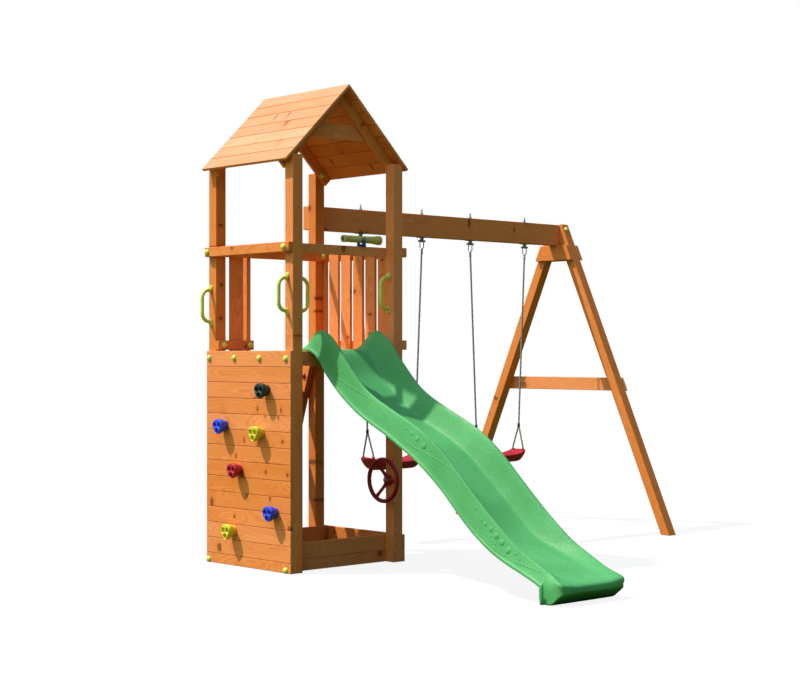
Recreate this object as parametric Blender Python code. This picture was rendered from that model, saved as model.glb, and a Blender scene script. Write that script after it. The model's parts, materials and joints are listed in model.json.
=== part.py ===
"""Wooden play tower with a slide, a climbing wall, a ladder and two swings.

Metres, +Z up. X runs from the climbing wall to the swings, Y from the slide to
the ladder. The origin is the middle of the front left post's foot.
"""
import math

import bmesh
import bpy
from mathutils import Vector

# Clearances
GAP = 0.0003          # between pieces that touch
RUN = 0.0006          # round a turning shaft

# Tower frame
POST = 0.068
TOWER_X = 0.802
TOWER_Y = 0.759
POST_HEIGHT = 2.261
DECK_TOP = 1.200
BOARD = 0.088         # cover width of a tongue and groove board
BOARD_THICK = 0.016
GROOVE = 0.003        # depth of the V between two boards

# Rails and infill
RAIL_TOP = DECK_TOP + 0.587
RAIL_HEIGHT = 0.053
RAIL_CLIMB_THICK = 0.030
RAIL_INNER_THICK = 0.022
RAIL_SWING_THICK = 0.033
LOW_RAIL_CLEAR = 0.006
LOW_RAIL_HEIGHT = 0.054
LOW_RAIL_LENGTH = 0.253
SLAT_THICK = 0.014
SLAT_WIDTH = 0.083
SLAT_GAP = 0.0255
SLAT_COUNT = 6
SLAT_FIRST_GAP = 0.046
LADDER_SLAT_OFFSET = 0.100
LADDER_SLAT_WIDTH = 0.094
BATTEN_OFFSET = 0.218
BATTEN_WIDTH = 0.029
BATTEN_DEPTH = 0.042

# Deck and sandbox
DECK_THICK = 0.022
DECK_BEAM_HEIGHT = 0.080
DECK_BEAM_DROP = 0.002
DECK_BEAM_THICK = 0.022
JOIST_WIDTH = 0.034
JOIST_INSET = 0.002
SANDBOX_LOWER = 0.064
SANDBOX_UPPER = 0.090
SANDBOX_THICK = 0.018

# Roof
ROOF_PITCH = math.radians(44.5)
ROOF_CLEAR = 0.0005   # post top to the boards above it
ROOF_LEFT_OVERHANG = 0.052
ROOF_RIGHT_OVERHANG = 0.047
ROOF_BOARDS = 7
RAFTER_DEPTH = 0.055
RAFTER_THICK = 0.022
RAFTER_OVERHANG = 0.034
COLLAR_HEIGHT = 0.087
COLLAR_THICK = 0.018
COLLAR_RISE = 0.119   # above the post tops

# Ladder
LADDER_LEAN = math.radians(18.2)
LADDER_WIDTH = 0.444
STRINGER_THICK = 0.042
STRINGER_DEPTH = 0.088
TREAD_THICK = 0.028
TREAD_DEPTH = 0.080
TREAD_COUNT = 4
TREAD_HOUSING = 0.006

# Swing beam and its stand
BEAM_THICK = 0.068
BEAM_HEIGHT = 0.142
BEAM_TOP = 2.0725
BEAM_START = 0.016    # past the back right post's inner face
BEAM_LENGTH = 2.300
STAND_LEAN = math.radians(24.32)
STAND_APEX = 0.0427   # the legs' lines cross this far above the beam
LEG_WIDTH = 0.0646
LEG_THICK = 0.068
LEG_OVER_BEAM = 0.005
GUSSET_THICK = 0.028
GUSSET_HEIGHT = 0.103
CROSSBAR_HEIGHT = 0.088
CROSSBAR_BASE = 0.933
CROSSBAR_THICK = 0.022

# Swings
HOOK_SPACING = 0.522
FIRST_HOOK = 0.380    # from the tower's swing side face
NEXT_SWING = 0.962    # from one swing's first hook to the next one's
HOOK_PLATE = (0.060, 0.036, 0.004)
HOOK_EAR = (0.005, 0.018)
PIN_RADIUS = 0.004
PIN_HALF = 0.029
PIN_DROP = 0.025      # below the beam
LINK_LENGTH = 0.066
LINK_WIDTH = 0.040
LINK_BAR = 0.007
ROPE_RADIUS = 0.006
ROPE_SPREAD = 0.394   # between the ropes at the seat
SPLIT_HEIGHT = 0.695
SEAT_TOP = 0.541
SEAT_LENGTH = 0.440
SEAT_WIDTH = 0.170
SEAT_HEIGHT = 0.086
SEAT_DIP = 0.040
LEG_SPREAD = 0.091    # between the two rope legs at a seat end
LEG_FOOT = 0.014      # the upright end of a rope leg

# Slide
SLIDE_HALF = 0.240
SLIDE_RUN = 1.776     # from the posts' front faces to the tip
SLIDE_SKIN = 0.005
SLIDE_RIM_HALF = 0.205
SLIDE_FLOOR_HALF = 0.135
SLIDE_FLANGE = 0.012  # upright edge at the foot of the outer wall
SLIDE_LIP = 0.120     # behind the posts' front faces
SLIDE_FOOT = 0.062    # the foot's length
SLIDE_FOOT_RIB = 0.014  # the upright edge down the foot's back
SLIDE_OVERHANG = 0.074  # the tip, past the foot
SLIDE_TIP = 0.058     # height of the tip's lower edge
# (share of the overhang, drop of the upper side, narrowing of each side) where the tip rolls over
SLIDE_NOSE = ((0.35, 0.0, 0.0), (0.68, 0.001, 0.003), (0.87, 0.004, 0.008), (0.97, 0.011, 0.014),
              (1.0, 0.023, 0.020))
# (share of the run, share of the deck's height) along the side wall's top
SLIDE_RIM = ((-0.0676, 1.019), (-0.0591, 1.034), (-0.0484, 1.052), (-0.0327, 1.076), (-0.0169, 1.091),
             (0.0034, 1.096), (0.0191, 1.090), (0.0445, 1.068), (0.0676, 1.038), (0.0845, 1.012),
             (0.0985, 0.983), (0.1126, 0.962), (0.1464, 0.912), (0.1640, 0.885), (0.2010, 0.834),
             (0.2540, 0.790), (0.3440, 0.730), (0.4350, 0.671), (0.4960, 0.619), (0.5520, 0.556),
             (0.6480, 0.425), (0.7250, 0.324), (0.7690, 0.273), (0.8130, 0.221), (0.8750, 0.174),
             (0.9330, 0.130), (0.9780, 0.100), (1.0000, 0.089))
# along the floor
SLIDE_FLOOR = ((-0.0676, 1.006), (-0.0400, 1.008), (-0.0225, 1.008), (0.0000, 0.990), (0.0225, 0.951),
               (0.0569, 0.885), (0.1194, 0.808), (0.1886, 0.732), (0.2607, 0.676), (0.3784, 0.600),
               (0.4550, 0.533), (0.5647, 0.401), (0.6289, 0.322), (0.6813, 0.252), (0.7331, 0.203),
               (0.8238, 0.156), (0.9000, 0.118), (1.0000, 0.079))
# and along the outer edge
SLIDE_EDGE = ((-0.0400, 1.0009), (-0.0170, 0.988), (0.0113, 0.957), (0.0366, 0.908), (0.0620, 0.870),
              (0.1126, 0.801), (0.2000, 0.714), (0.3190, 0.632), (0.3580, 0.601), (0.4490, 0.526),
              (0.5440, 0.424), (0.6510, 0.277), (0.7540, 0.173), (0.8960, 0.089), (0.9240, 0.068))

# Grab handles
HANDLE_LENGTH = 0.235
HANDLE_REACH = 0.072
HANDLE_BAR = 0.0105
HANDLE_STRAIGHT = 0.060
HANDLE_PAD = 0.034    # height of a foot
HANDLE_PAD_THICK = 0.009
# a handle's middle, above the deck
HANDLE_RISE = {"back_left": 0.257, "front_left": 0.306, "slide_left": 0.304, "slide_right": 0.328}

# Climbing grips: (share across the wall from the front, height, colour)
GRIPS = ((0.204, 0.986, "black"), (0.584, 0.780, "blue"), (0.257, 0.751, "yellow"),
         (0.452, 0.539, "red"), (0.130, 0.322, "blue"), (0.507, 0.196, "yellow"))
GRIP_REACH = 0.060
GRIP_RADIUS = 0.043
GRIP_HOLLOW = 0.0140
GRIP_HOLLOW_OUT = 0.0215
GRIP_HOLLOW_DROP = 0.006  # the hollows' middle, under the grip's middle
GRIP_HOLLOW_DEPTH = 0.020

# Steering wheel
WHEEL_RADIUS = 0.118
WHEEL_BAR = 0.0125
WHEEL_HEIGHT = 0.467
WHEEL_OUT = 0.050     # rim plane to the post's face
HUB_RADIUS = 0.030
HUB_LENGTH = 0.030
AXLE_RADIUS = 0.006
AXLE_HEAD = 0.013

# Telescope
SCOPE_LENGTH = 0.277
SCOPE_BODY = 0.0185
SCOPE_EYE = 0.0210
SCOPE_FRONT = 0.0265
SCOPE_BORE = 0.0140
SCOPE_CENTRE = 0.560  # along the rail from the tower's left face
SCOPE_RISE = 0.040    # above the rail
SCOPE_CLEAR = 0.004   # tube to fork, each side
SCOPE_STUB = 0.005
SCOPE_FOOT = 0.028    # half length of the foot plate
SCOPE_PLATE = 0.005
SCOPE_PIN = 0.004
SCOPE_HEAD = 0.003
FORK_ARM = 0.004
FORK_EYE = 0.010

COLOURS = {
    "wood": (0.72, 0.33, 0.11), "dark wood": (0.42, 0.19, 0.06), "slide": (0.14, 0.50, 0.22),
    "lime": (0.44, 0.50, 0.07), "steel": (0.30, 0.34, 0.35), "rope": (0.42, 0.42, 0.36),
    "red": (0.45, 0.02, 0.03), "blue": (0.04, 0.08, 0.55), "yellow": (0.78, 0.68, 0.05),
    "black": (0.02, 0.03, 0.03), "green": (0.22, 0.28, 0.06),
}
ROUGHNESS = {"wood": 0.65, "dark wood": 0.65, "rope": 0.9, "steel": 0.4}

STAND_SLOPE = math.tan(STAND_LEAN)

# Faces of the tower
LEFT = -POST / 2
FRONT = -POST / 2
RIGHT = LEFT + TOWER_X
BACK = FRONT + TOWER_Y
INNER_LEFT = LEFT + POST
INNER_RIGHT = RIGHT - POST
INNER_FRONT = FRONT + POST
INNER_BACK = BACK - POST
MIDDLE = (LEFT + RIGHT) / 2
BEAM_BASE = BEAM_TOP - BEAM_HEIGHT
BEAM_MIDDLE = BACK + GAP + BEAM_THICK / 2
BEAM_LEFT = INNER_RIGHT + BEAM_START
STAND_RIGHT = BEAM_LEFT + BEAM_LENGTH
STAND_LEFT = STAND_RIGHT - LEG_THICK
PIN_HEIGHT = BEAM_BASE - PIN_DROP


def clear_scene():
    for obj in list(bpy.data.objects):
        bpy.data.objects.remove(obj, do_unlink=True)


def material(name):
    mat = bpy.data.materials.get(name)
    if mat:
        return mat
    mat = bpy.data.materials.new(name)
    mat.use_nodes = True
    shader = mat.node_tree.nodes["Principled BSDF"]
    shader.inputs["Base Color"].default_value = (*COLOURS[name], 1.0)
    shader.inputs["Roughness"].default_value = ROUGHNESS.get(name, 0.35)
    shader.inputs["Metallic"].default_value = 1.0 if name == "steel" else 0.0
    return mat


def add_object(name, mesh, colour):
    obj = bpy.data.objects.new(name, mesh)
    bpy.context.scene.collection.objects.link(obj)
    mesh.materials.clear()
    mesh.materials.append(material(colour))
    return obj


def from_bmesh(name, bm, colour, smooth=False):
    bmesh.ops.recalc_face_normals(bm, faces=bm.faces)
    mesh = bpy.data.meshes.new(name)
    bm.to_mesh(mesh)
    bm.free()
    if smooth:
        mesh.shade_smooth()
        mesh.set_sharp_from_angle(angle=math.radians(40))
    return add_object(name, mesh, colour)


def box(name, x, y, z, colour="wood"):
    """A block between two values on each axis."""
    bm = bmesh.new()
    bmesh.ops.create_cube(bm, size=1.0)
    size = Vector((x[1] - x[0], y[1] - y[0], z[1] - z[0]))
    middle = Vector((x[0] + x[1], y[0] + y[1], z[0] + z[1])) / 2
    bmesh.ops.scale(bm, vec=size, verts=bm.verts)
    bmesh.ops.translate(bm, vec=middle, verts=bm.verts)
    return from_bmesh(name, bm, colour)


def prism(name, outline, start, end, axis, colour="wood"):
    """An outline pushed along an axis; the outline is in the two other axes, in order."""
    def place(point, at):
        a, b = point
        return {"X": (at, a, b), "Y": (a, at, b), "Z": (a, b, at)}[axis]
    bm = bmesh.new()
    face = bm.faces.new([bm.verts.new(place(point, start)) for point in outline])
    pushed = bmesh.ops.extrude_face_region(bm, geom=[face])
    moved = [item for item in pushed["geom"] if isinstance(item, bmesh.types.BMVert)]
    shift = Vector(place((0, 0), end)) - Vector(place((0, 0), start))
    bmesh.ops.translate(bm, vec=shift, verts=moved)
    return from_bmesh(name, bm, colour)


def cylinder(name, start, end, radius, colour, sides=20, end_radius=None):
    start = Vector(start)
    end = Vector(end)
    along = end - start
    bm = bmesh.new()
    bmesh.ops.create_cone(bm, cap_ends=True, segments=sides, radius1=radius,
                          radius2=radius if end_radius is None else end_radius, depth=along.length)
    turn = Vector((0, 0, 1)).rotation_difference(along).to_matrix().to_4x4()
    bmesh.ops.transform(bm, matrix=turn, verts=bm.verts)
    bmesh.ops.translate(bm, vec=(start + end) / 2, verts=bm.verts)
    return from_bmesh(name, bm, colour, smooth=True)


def tube(name, points, radius, colour, sides=2):
    """A round bar along a line of points, as a bevelled curve turned into a mesh."""
    curve = bpy.data.curves.new(name, "CURVE")
    curve.dimensions = "3D"
    curve.bevel_depth = radius
    curve.bevel_resolution = sides
    curve.use_fill_caps = True
    spline = curve.splines.new("POLY")
    spline.points.add(len(points) - 1)
    for spot, point in zip(spline.points, points):
        spot.co = (*point, 1.0)
    holder = bpy.data.objects.new(name, curve)
    bpy.context.scene.collection.objects.link(holder)
    graph = bpy.context.evaluated_depsgraph_get()
    mesh = bpy.data.meshes.new_from_object(holder.evaluated_get(graph))
    bpy.data.objects.remove(holder, do_unlink=True)
    mesh.shade_smooth()
    mesh.set_sharp_from_angle(angle=math.radians(40))
    obj = add_object(name, mesh, colour)
    return obj


def combine(base, others, operation="UNION"):
    """Join other solids to a base, or cut them from it, and remove them."""
    for other in others:
        change = base.modifiers.new("change", "BOOLEAN")
        change.operation = operation
        change.object = other
        graph = bpy.context.evaluated_depsgraph_get()
        mesh = bpy.data.meshes.new_from_object(base.evaluated_get(graph))
        base.modifiers.remove(change)
        base.data = mesh
        bpy.data.objects.remove(other, do_unlink=True)
    return base


def grooved(length, width, depth, pitch, both_sides):
    """Outline of boards side by side: along runs 0 to length, across runs 0 to width."""
    def side(level, inward):
        points = [(0.0, level)]
        edge = pitch
        while edge < length - depth:
            points += [(edge - depth, level), (edge, level + inward * depth), (edge + depth, level)]
            edge += pitch
        points.append((length, level))
        return points
    back = side(width, -1) if both_sides else [(0.0, width), (length, width)]
    return side(0.0, 1) + back[::-1]


def smooth_line(points):
    """A function through points whose first values rise, with the slope shared at each point."""
    def slope(index):
        low = max(index - 1, 0)
        high = min(index + 1, len(points) - 1)
        return (points[high][1] - points[low][1]) / (points[high][0] - points[low][0])

    def value(x):
        x = min(max(x, points[0][0]), points[-1][0])
        index = 0
        while index < len(points) - 2 and x > points[index + 1][0]:
            index += 1
        (x0, y0), (x1, y1) = points[index], points[index + 1]
        step = x1 - x0
        t = (x - x0) / step
        a = (1 + 2 * t) * (1 - t) ** 2 * y0 + t * t * (3 - 2 * t) * y1
        return a + t * (1 - t) ** 2 * step * slope(index) - t * t * (1 - t) * step * slope(index + 1)
    return value


def make_posts():
    for name, x, y in (("post_front_left", LEFT, FRONT), ("post_front_right", INNER_RIGHT, FRONT),
                       ("post_back_left", LEFT, INNER_BACK), ("post_back_right", INNER_RIGHT, INNER_BACK)):
        box(name, (x, x + POST), (y, y + POST), (0.0, POST_HEIGHT))


def make_climbing_wall():
    outline = grooved(DECK_TOP, BOARD_THICK, GROOVE, BOARD, False)
    outer = LEFT - GAP - BOARD_THICK
    points = [(outer + across, DECK_TOP - down) for down, across in outline]
    prism("climbing_wall", points, FRONT, BACK, "Y")


def make_deck():
    front = INNER_FRONT + DECK_BEAM_THICK + 2 * GAP
    back = INNER_BACK - DECK_BEAM_THICK - 2 * GAP
    top = DECK_TOP - DECK_BEAM_DROP
    for name, low, high in (("deck_front_board", INNER_FRONT + GAP, front - GAP),
                            ("deck_back_board", back + GAP, INNER_BACK - GAP)):
        box(name, (LEFT, RIGHT), (low, high), (top - DECK_BEAM_HEIGHT, top))
    outline = grooved(back - front, DECK_THICK, GROOVE, BOARD, False)
    points = [(front + along, DECK_TOP - across) for along, across in outline]
    deck = prism("deck_platform", points, LEFT, RIGHT, "X")
    under = DECK_TOP - DECK_THICK
    base = top - DECK_BEAM_HEIGHT
    joists = []
    for start in (LEFT + JOIST_INSET, RIGHT - JOIST_INSET - JOIST_WIDTH):
        joists.append(box("joist", (start, start + JOIST_WIDTH), (front + JOIST_INSET, back - JOIST_INSET),
                          (base, under + GROOVE)))
    combine(deck, joists)


def make_sandbox():
    height = SANDBOX_LOWER + SANDBOX_UPPER
    outline = grooved(height, SANDBOX_THICK, GROOVE, SANDBOX_UPPER, False)
    face = INNER_FRONT + GAP
    front = [(face + across, height - down) for down, across in outline]
    prism("sandbox_front_boards", front, LEFT, RIGHT, "X")
    face = INNER_BACK - GAP - SANDBOX_THICK
    back = [(face + across, height - down) for down, across in outline]
    prism("sandbox_back_boards", back, LEFT, RIGHT, "X")
    face = RIGHT + GAP + SANDBOX_THICK
    side = [(face - across, height - down) for down, across in outline]
    prism("sandbox_swing_side_boards", side, FRONT, BACK, "Y")


def make_rails():
    z = (RAIL_TOP - RAIL_HEIGHT, RAIL_TOP)
    box("rail_climb_side", (LEFT - GAP - RAIL_CLIMB_THICK, LEFT - GAP), (FRONT, BACK), z)
    start = INNER_FRONT + GAP
    box("rail_slide_side", (LEFT, RIGHT), (start, start + RAIL_INNER_THICK), z)
    end = INNER_BACK - GAP
    box("rail_ladder_side", (LEFT, RIGHT - SLAT_THICK - GAP), (end - RAIL_INNER_THICK, end), z)
    low = DECK_TOP + LOW_RAIL_CLEAR
    box("low_rail_ladder_side", (LEFT, LEFT + LOW_RAIL_LENGTH), (end - RAIL_INNER_THICK, end),
        (low, low + LOW_RAIL_HEIGHT))


def make_swing_side_railing():
    rail = (RIGHT + GAP, RIGHT + GAP + RAIL_SWING_THICK)
    low = DECK_TOP + LOW_RAIL_CLEAR
    railing = box("swing_side_railing", rail, (FRONT, BACK), (RAIL_TOP - RAIL_HEIGHT, RAIL_TOP))
    pieces = [box("low", rail, (FRONT, BACK), (low, low + LOW_RAIL_HEIGHT))]
    start = INNER_FRONT + SLAT_FIRST_GAP
    for _ in range(SLAT_COUNT):
        end = min(start + SLAT_WIDTH, INNER_BACK - GAP)
        pieces.append(box("slat", (RIGHT - SLAT_THICK, RIGHT + 10 * GAP), (start, end),
                          (DECK_TOP + GAP, RAIL_TOP - 10 * GAP)))
        start += SLAT_WIDTH + SLAT_GAP
    combine(railing, pieces)


def make_ladder_side_infill():
    back = INNER_BACK + GAP
    z = (DECK_TOP + GAP, RAIL_TOP)
    start = LEFT + LADDER_SLAT_OFFSET
    box("slat_ladder_side", (start, start + LADDER_SLAT_WIDTH), (back, back + SLAT_THICK), z)
    start = LEFT + BATTEN_OFFSET
    box("batten_ladder_side", (start, start + BATTEN_WIDTH), (back, back + BATTEN_DEPTH), z)


def make_ladder():
    top = DECK_TOP
    lean = math.tan(LADDER_LEAN)
    face = INNER_BACK + GAP
    knee = top - DECK_BEAM_DROP - DECK_BEAM_HEIGHT
    depth = STRINGER_DEPTH / math.cos(LADDER_LEAN)
    head = face + depth - (top - knee) * lean
    foot = face + knee * lean
    outline = [(foot, 0.0), (face, knee), (face, top), (head, top), (foot + depth, 0.0)]
    right = INNER_RIGHT - GAP
    left = right - LADDER_WIDTH
    ladder = prism("ladder", outline, left, left + STRINGER_THICK, "X")
    pieces = [prism("stringer", outline, right - STRINGER_THICK, right, "X")]
    inside = (left + STRINGER_THICK - TREAD_HOUSING, right - STRINGER_THICK + TREAD_HOUSING)
    for step in range(1, TREAD_COUNT + 1):
        level = top * step / (TREAD_COUNT + 1)
        front = face + (knee - level) * lean + (depth - TREAD_DEPTH) / 2
        pieces.append(box("tread", inside, (front, front + TREAD_DEPTH), (level - TREAD_THICK, level)))
    combine(ladder, pieces)


def roof_surface(x, down=0.0):
    """Height of the roof's outer surface at x, or of a surface that lies deeper by down."""
    rise = math.tan(ROOF_PITCH)
    apex = POST_HEIGHT + ROOF_CLEAR + (TOWER_X / 2) * rise + BOARD_THICK / math.cos(ROOF_PITCH)
    return apex - abs(x - MIDDLE) * rise - down / math.cos(ROOF_PITCH)


def make_roof():
    cosine = math.cos(ROOF_PITCH)
    sine = math.sin(ROOF_PITCH)
    apex = roof_surface(MIDDLE)
    lap = BOARD_THICK + GAP
    for name, side, overhang, start in (("roof_left", -1, ROOF_LEFT_OVERHANG, 0.0),
                                        ("roof_right", 1, ROOF_RIGHT_OVERHANG, lap)):
        length = (TOWER_X / 2 + overhang) / cosine - start
        outline = grooved(length, BOARD_THICK, GROOVE, length / ROOF_BOARDS, True)
        points = []
        for along, across in outline:
            run = start + along
            points.append((MIDDLE + side * (run * cosine - across * sine), apex - run * sine - across * cosine))
        prism(name, points, FRONT, BACK, "Y")


def make_rafters():
    under = BOARD_THICK + GAP
    spans = (("front", INNER_FRONT + GAP), ("back", INNER_BACK - GAP - RAFTER_THICK))
    for end, start in spans:
        for name, side in (("left", -1), ("right", 1)):
            tip = TOWER_X / 2 + RAFTER_OVERHANG
            level = roof_surface(MIDDLE + tip, under)
            shape = [(GAP, roof_surface(MIDDLE + GAP, under)), (tip, level),
                     (tip - RAFTER_DEPTH * math.sin(ROOF_PITCH), level - RAFTER_DEPTH * math.cos(ROOF_PITCH)),
                     (GAP, roof_surface(MIDDLE + GAP, under + RAFTER_DEPTH))]
            outline = [(MIDDLE + side * x, z) for x, z in shape]
            prism(f"rafter_{end}_{name}", outline, start, start + RAFTER_THICK, "Y")
    base = POST_HEIGHT + COLLAR_RISE
    ends = []
    for level in (base, base + COLLAR_HEIGHT):
        ends.append((roof_surface(MIDDLE, under + BOARD_THICK) - level) / math.tan(ROOF_PITCH))
    outline = [(MIDDLE - ends[0], base), (MIDDLE + ends[0], base),
               (MIDDLE + ends[1], base + COLLAR_HEIGHT), (MIDDLE - ends[1], base + COLLAR_HEIGHT)]
    start = INNER_FRONT + RAFTER_THICK + 2 * GAP
    prism("collar_tie", outline, start, start + COLLAR_THICK, "Y")


def leg_edges(level):
    """How far a stand leg's inner and outer edges are from the beam's middle at a level."""
    centre = (BEAM_TOP + STAND_APEX - level) * STAND_SLOPE
    half = LEG_WIDTH / 2 * math.hypot(1, STAND_SLOPE)
    return centre - half, centre + half


def make_swing_frame():
    box("swing_beam", (BEAM_LEFT, STAND_RIGHT), (BACK + GAP, BACK + GAP + BEAM_THICK), (BEAM_BASE, BEAM_TOP))
    cheek = BEAM_THICK / 2 + GAP
    top = BEAM_TOP + LEG_OVER_BEAM
    half = LEG_WIDTH / 2 * math.hypot(1, STAND_SLOPE)
    meet = BEAM_TOP + STAND_APEX - (cheek + half) / STAND_SLOPE
    shape = [(leg_edges(0.0)[0], 0.0), (leg_edges(0.0)[1], 0.0), (leg_edges(top)[1], top), (cheek, top),
             (cheek, meet)]
    for name, side in (("stand_leg_front", -1), ("stand_leg_back", 1)):
        outline = [(BEAM_MIDDLE + side * y, z) for y, z in shape]
        prism(name, outline, STAND_LEFT, STAND_RIGHT, "X")
    high = BEAM_BASE - GAP
    low = high - GUSSET_HEIGHT
    tie_top = CROSSBAR_BASE + CROSSBAR_HEIGHT
    for name, base, head, start, thick in (
            ("gusset_inner", low, high, STAND_LEFT - GAP - GUSSET_THICK, GUSSET_THICK),
            ("gusset_outer", low, high, STAND_RIGHT + GAP, GUSSET_THICK),
            ("stand_crossbar", CROSSBAR_BASE, tie_top, STAND_RIGHT + GAP, CROSSBAR_THICK)):
        wide = leg_edges(base)[1]
        narrow = leg_edges(head)[1]
        outline = [(BEAM_MIDDLE - wide, base), (BEAM_MIDDLE + wide, base),
                   (BEAM_MIDDLE + narrow, head), (BEAM_MIDDLE - narrow, head)]
        prism(name, outline, start, start + thick, "X")


def make_hook(name, x):
    """A plate under the beam with two ears and the pin that a swing hangs on."""
    wide, deep, thick = HOOK_PLATE
    ear, ear_deep = HOOK_EAR
    top = BEAM_BASE - GAP
    half = LINK_BAR / 2 + GAP
    foot = PIN_HEIGHT - 1.8 * PIN_RADIUS
    hook = box(name, (x - wide / 2, x + wide / 2), (BEAM_MIDDLE - deep / 2, BEAM_MIDDLE + deep / 2),
               (top - thick, top), "steel")
    parts = []
    for side in (-1, 1):
        inner = x + side * half
        outer = x + side * (half + ear)
        parts.append(box("ear", (min(inner, outer), max(inner, outer)),
                         (BEAM_MIDDLE - ear_deep / 2, BEAM_MIDDLE + ear_deep / 2), (foot, top - thick / 2),
                         "steel"))
    parts.append(cylinder("pin", (x - PIN_HALF, BEAM_MIDDLE, PIN_HEIGHT), (x + PIN_HALF, BEAM_MIDDLE, PIN_HEIGHT),
                          PIN_RADIUS, "steel", 16))
    return combine(hook, parts)


def make_rope(name, hook_x, seat_x):
    """A link on the hook's pin, the rope from it and the two legs that hold the seat's end."""
    radius = LINK_WIDTH / 2 - LINK_BAR / 2
    top = PIN_HEIGHT + PIN_RADIUS + GAP + LINK_BAR / 2 - radius
    bottom = PIN_HEIGHT + PIN_RADIUS + GAP + LINK_BAR - LINK_LENGTH + LINK_BAR / 2 + radius
    ring = []
    steps = 8
    for step in range(steps + 1):
        angle = math.pi * step / steps
        ring.append((hook_x, BEAM_MIDDLE + radius * math.cos(angle), top + radius * math.sin(angle)))
    for step in range(steps + 1):
        angle = math.pi + math.pi * step / steps
        ring.append((hook_x, BEAM_MIDDLE + radius * math.cos(angle), bottom + radius * math.sin(angle)))
    link = ring_solid(name, ring, LINK_BAR / 2, "steel")
    start = Vector((hook_x, BEAM_MIDDLE, bottom - radius - LINK_BAR / 4))
    split = rope_split(start, seat_x)
    rope = combine(link, [tube("rope", [start, split], ROPE_RADIUS, "rope")])
    legs = []
    for side in (-1, 1):
        end = Vector((seat_x, BEAM_MIDDLE + side * LEG_SPREAD / 2, SEAT_TOP + GAP))
        knee = end + Vector((0, 0, LEG_FOOT))
        legs.append(tube("leg", [split + Vector((0, 0, 0.004)), knee, end], ROPE_RADIUS, "rope"))
    rope = combine(rope, legs)
    rope.data.materials.clear()
    rope.data.materials.append(material("rope"))
    return rope


def rope_split(start, seat_x):
    """The point on the straight line from the link to the seat where the rope parts."""
    share = (start.z - SPLIT_HEIGHT) / (start.z - SEAT_TOP)
    return Vector((start.x + (seat_x - start.x) * share, start.y, SPLIT_HEIGHT))


def ring_solid(name, points, radius, colour, sides=8):
    """A round bar bent into a closed ring that lies in a plane across X."""
    bm = bmesh.new()
    centre = sum((Vector(p) for p in points), Vector()) / len(points)
    loops = []
    count = len(points)
    for index, point in enumerate(points):
        point = Vector(point)
        along = (Vector(points[(index + 1) % count]) - Vector(points[index - 1])).normalized()
        out = along.cross(Vector((1, 0, 0))).normalized()
        if out.dot(point - centre) < 0:
            out = -out
        loop = []
        for side in range(sides):
            angle = 2 * math.pi * (side + 0.5) / sides
            spot = point + radius * (math.cos(angle) * out + math.sin(angle) * Vector((1, 0, 0)))
            loop.append(bm.verts.new(spot))
        loops.append(loop)
    for index in range(count):
        here = loops[index]
        there = loops[(index + 1) % count]
        for side in range(sides):
            after = (side + 1) % sides
            bm.faces.new((here[side], here[after], there[after], there[side]))
    return from_bmesh(name, bm, colour, smooth=True)


def turned(name, centre, profile, colour, sides, closed=False, lobes=0.0):
    """A solid turned about a line along X through a centre; profile is (along, radius) pairs."""
    bm = bmesh.new()
    largest = max(radius for _, radius in profile)
    loops = []
    for along, radius in profile:
        loop = []
        for side in range(sides):
            angle = 2 * math.pi * side / sides
            reach = radius * (1 + lobes * (radius / largest) ** 2 * math.cos(3 * angle))
            spot = Vector(centre) + Vector((along, reach * math.sin(angle), reach * math.cos(angle)))
            loop.append(bm.verts.new(spot))
        loops.append(loop)
    pairs = list(zip(loops, loops[1:]))
    if closed:
        pairs.append((loops[-1], loops[0]))
    else:
        bm.faces.new(loops[0])
        bm.faces.new(loops[-1])
    for here, there in pairs:
        for side in range(sides):
            after = (side + 1) % sides
            bm.faces.new((here[side], here[after], there[after], there[side]))
    return from_bmesh(name, bm, colour, smooth=True)


def make_seat(name, x):
    """A moulded seat: a boat shape with raised ends and rounded corners."""
    bm = bmesh.new()
    columns = 24
    base = SEAT_TOP - SEAT_HEIGHT
    levels = []
    for share, inset_x, inset_y in ((0.0, 0.062, 0.026), (0.3, 0.030, 0.012), (0.7, 0.008, 0.003), (0.9, 0.0, 0.0),
                                    (1.0, 0.004, 0.004)):
        ring = []
        for step in range(columns):
            angle = 2 * math.pi * (step + 0.5) / columns
            cosine = math.cos(angle)
            sine = math.sin(angle)
            across = (SEAT_LENGTH / 2 - inset_x) * math.copysign(abs(cosine) ** 0.4, cosine)
            along = (SEAT_WIDTH / 2 - inset_y) * math.copysign(abs(sine) ** 0.45, sine)
            rim = SEAT_TOP - SEAT_DIP * (1 - (across / (SEAT_LENGTH / 2)) ** 2)
            ring.append(bm.verts.new((x + across, BEAM_MIDDLE + along, base + share * (rim - base))))
        levels.append(ring)
    for low, high in zip(levels, levels[1:]):
        for step in range(columns):
            after = (step + 1) % columns
            bm.faces.new((low[step], low[after], high[after], high[step]))
    for ring in (levels[0], levels[-1]):
        for step in range(columns // 2 - 1):
            bm.faces.new((ring[step], ring[step + 1], ring[columns - 2 - step], ring[columns - 1 - step]))
    seat = from_bmesh(name, bm, "red", smooth=True)
    pads = []
    for side in (-1, 1):
        for way in (-1, 1):
            spot = Vector((x + side * ROPE_SPREAD / 2, BEAM_MIDDLE + way * LEG_SPREAD / 2, SEAT_TOP))
            pads.append(cylinder("pad", spot - Vector((0, 0, 0.03)), spot, 0.012, "red", 14))
    return combine(seat, pads)


def make_swings():
    first = RIGHT + FIRST_HOOK
    for name, start in (("left", first), ("right", first + NEXT_SWING)):
        middle = start + HOOK_SPACING / 2
        make_seat(f"swing_{name}_seat", middle)
        for end, side in (("near", -1), ("far", 1)):
            hook_x = middle + side * HOOK_SPACING / 2
            make_hook(f"swing_{name}_hook_{end}", hook_x)
            make_rope(f"swing_{name}_rope_{end}", hook_x, middle + side * ROPE_SPREAD / 2)


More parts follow.
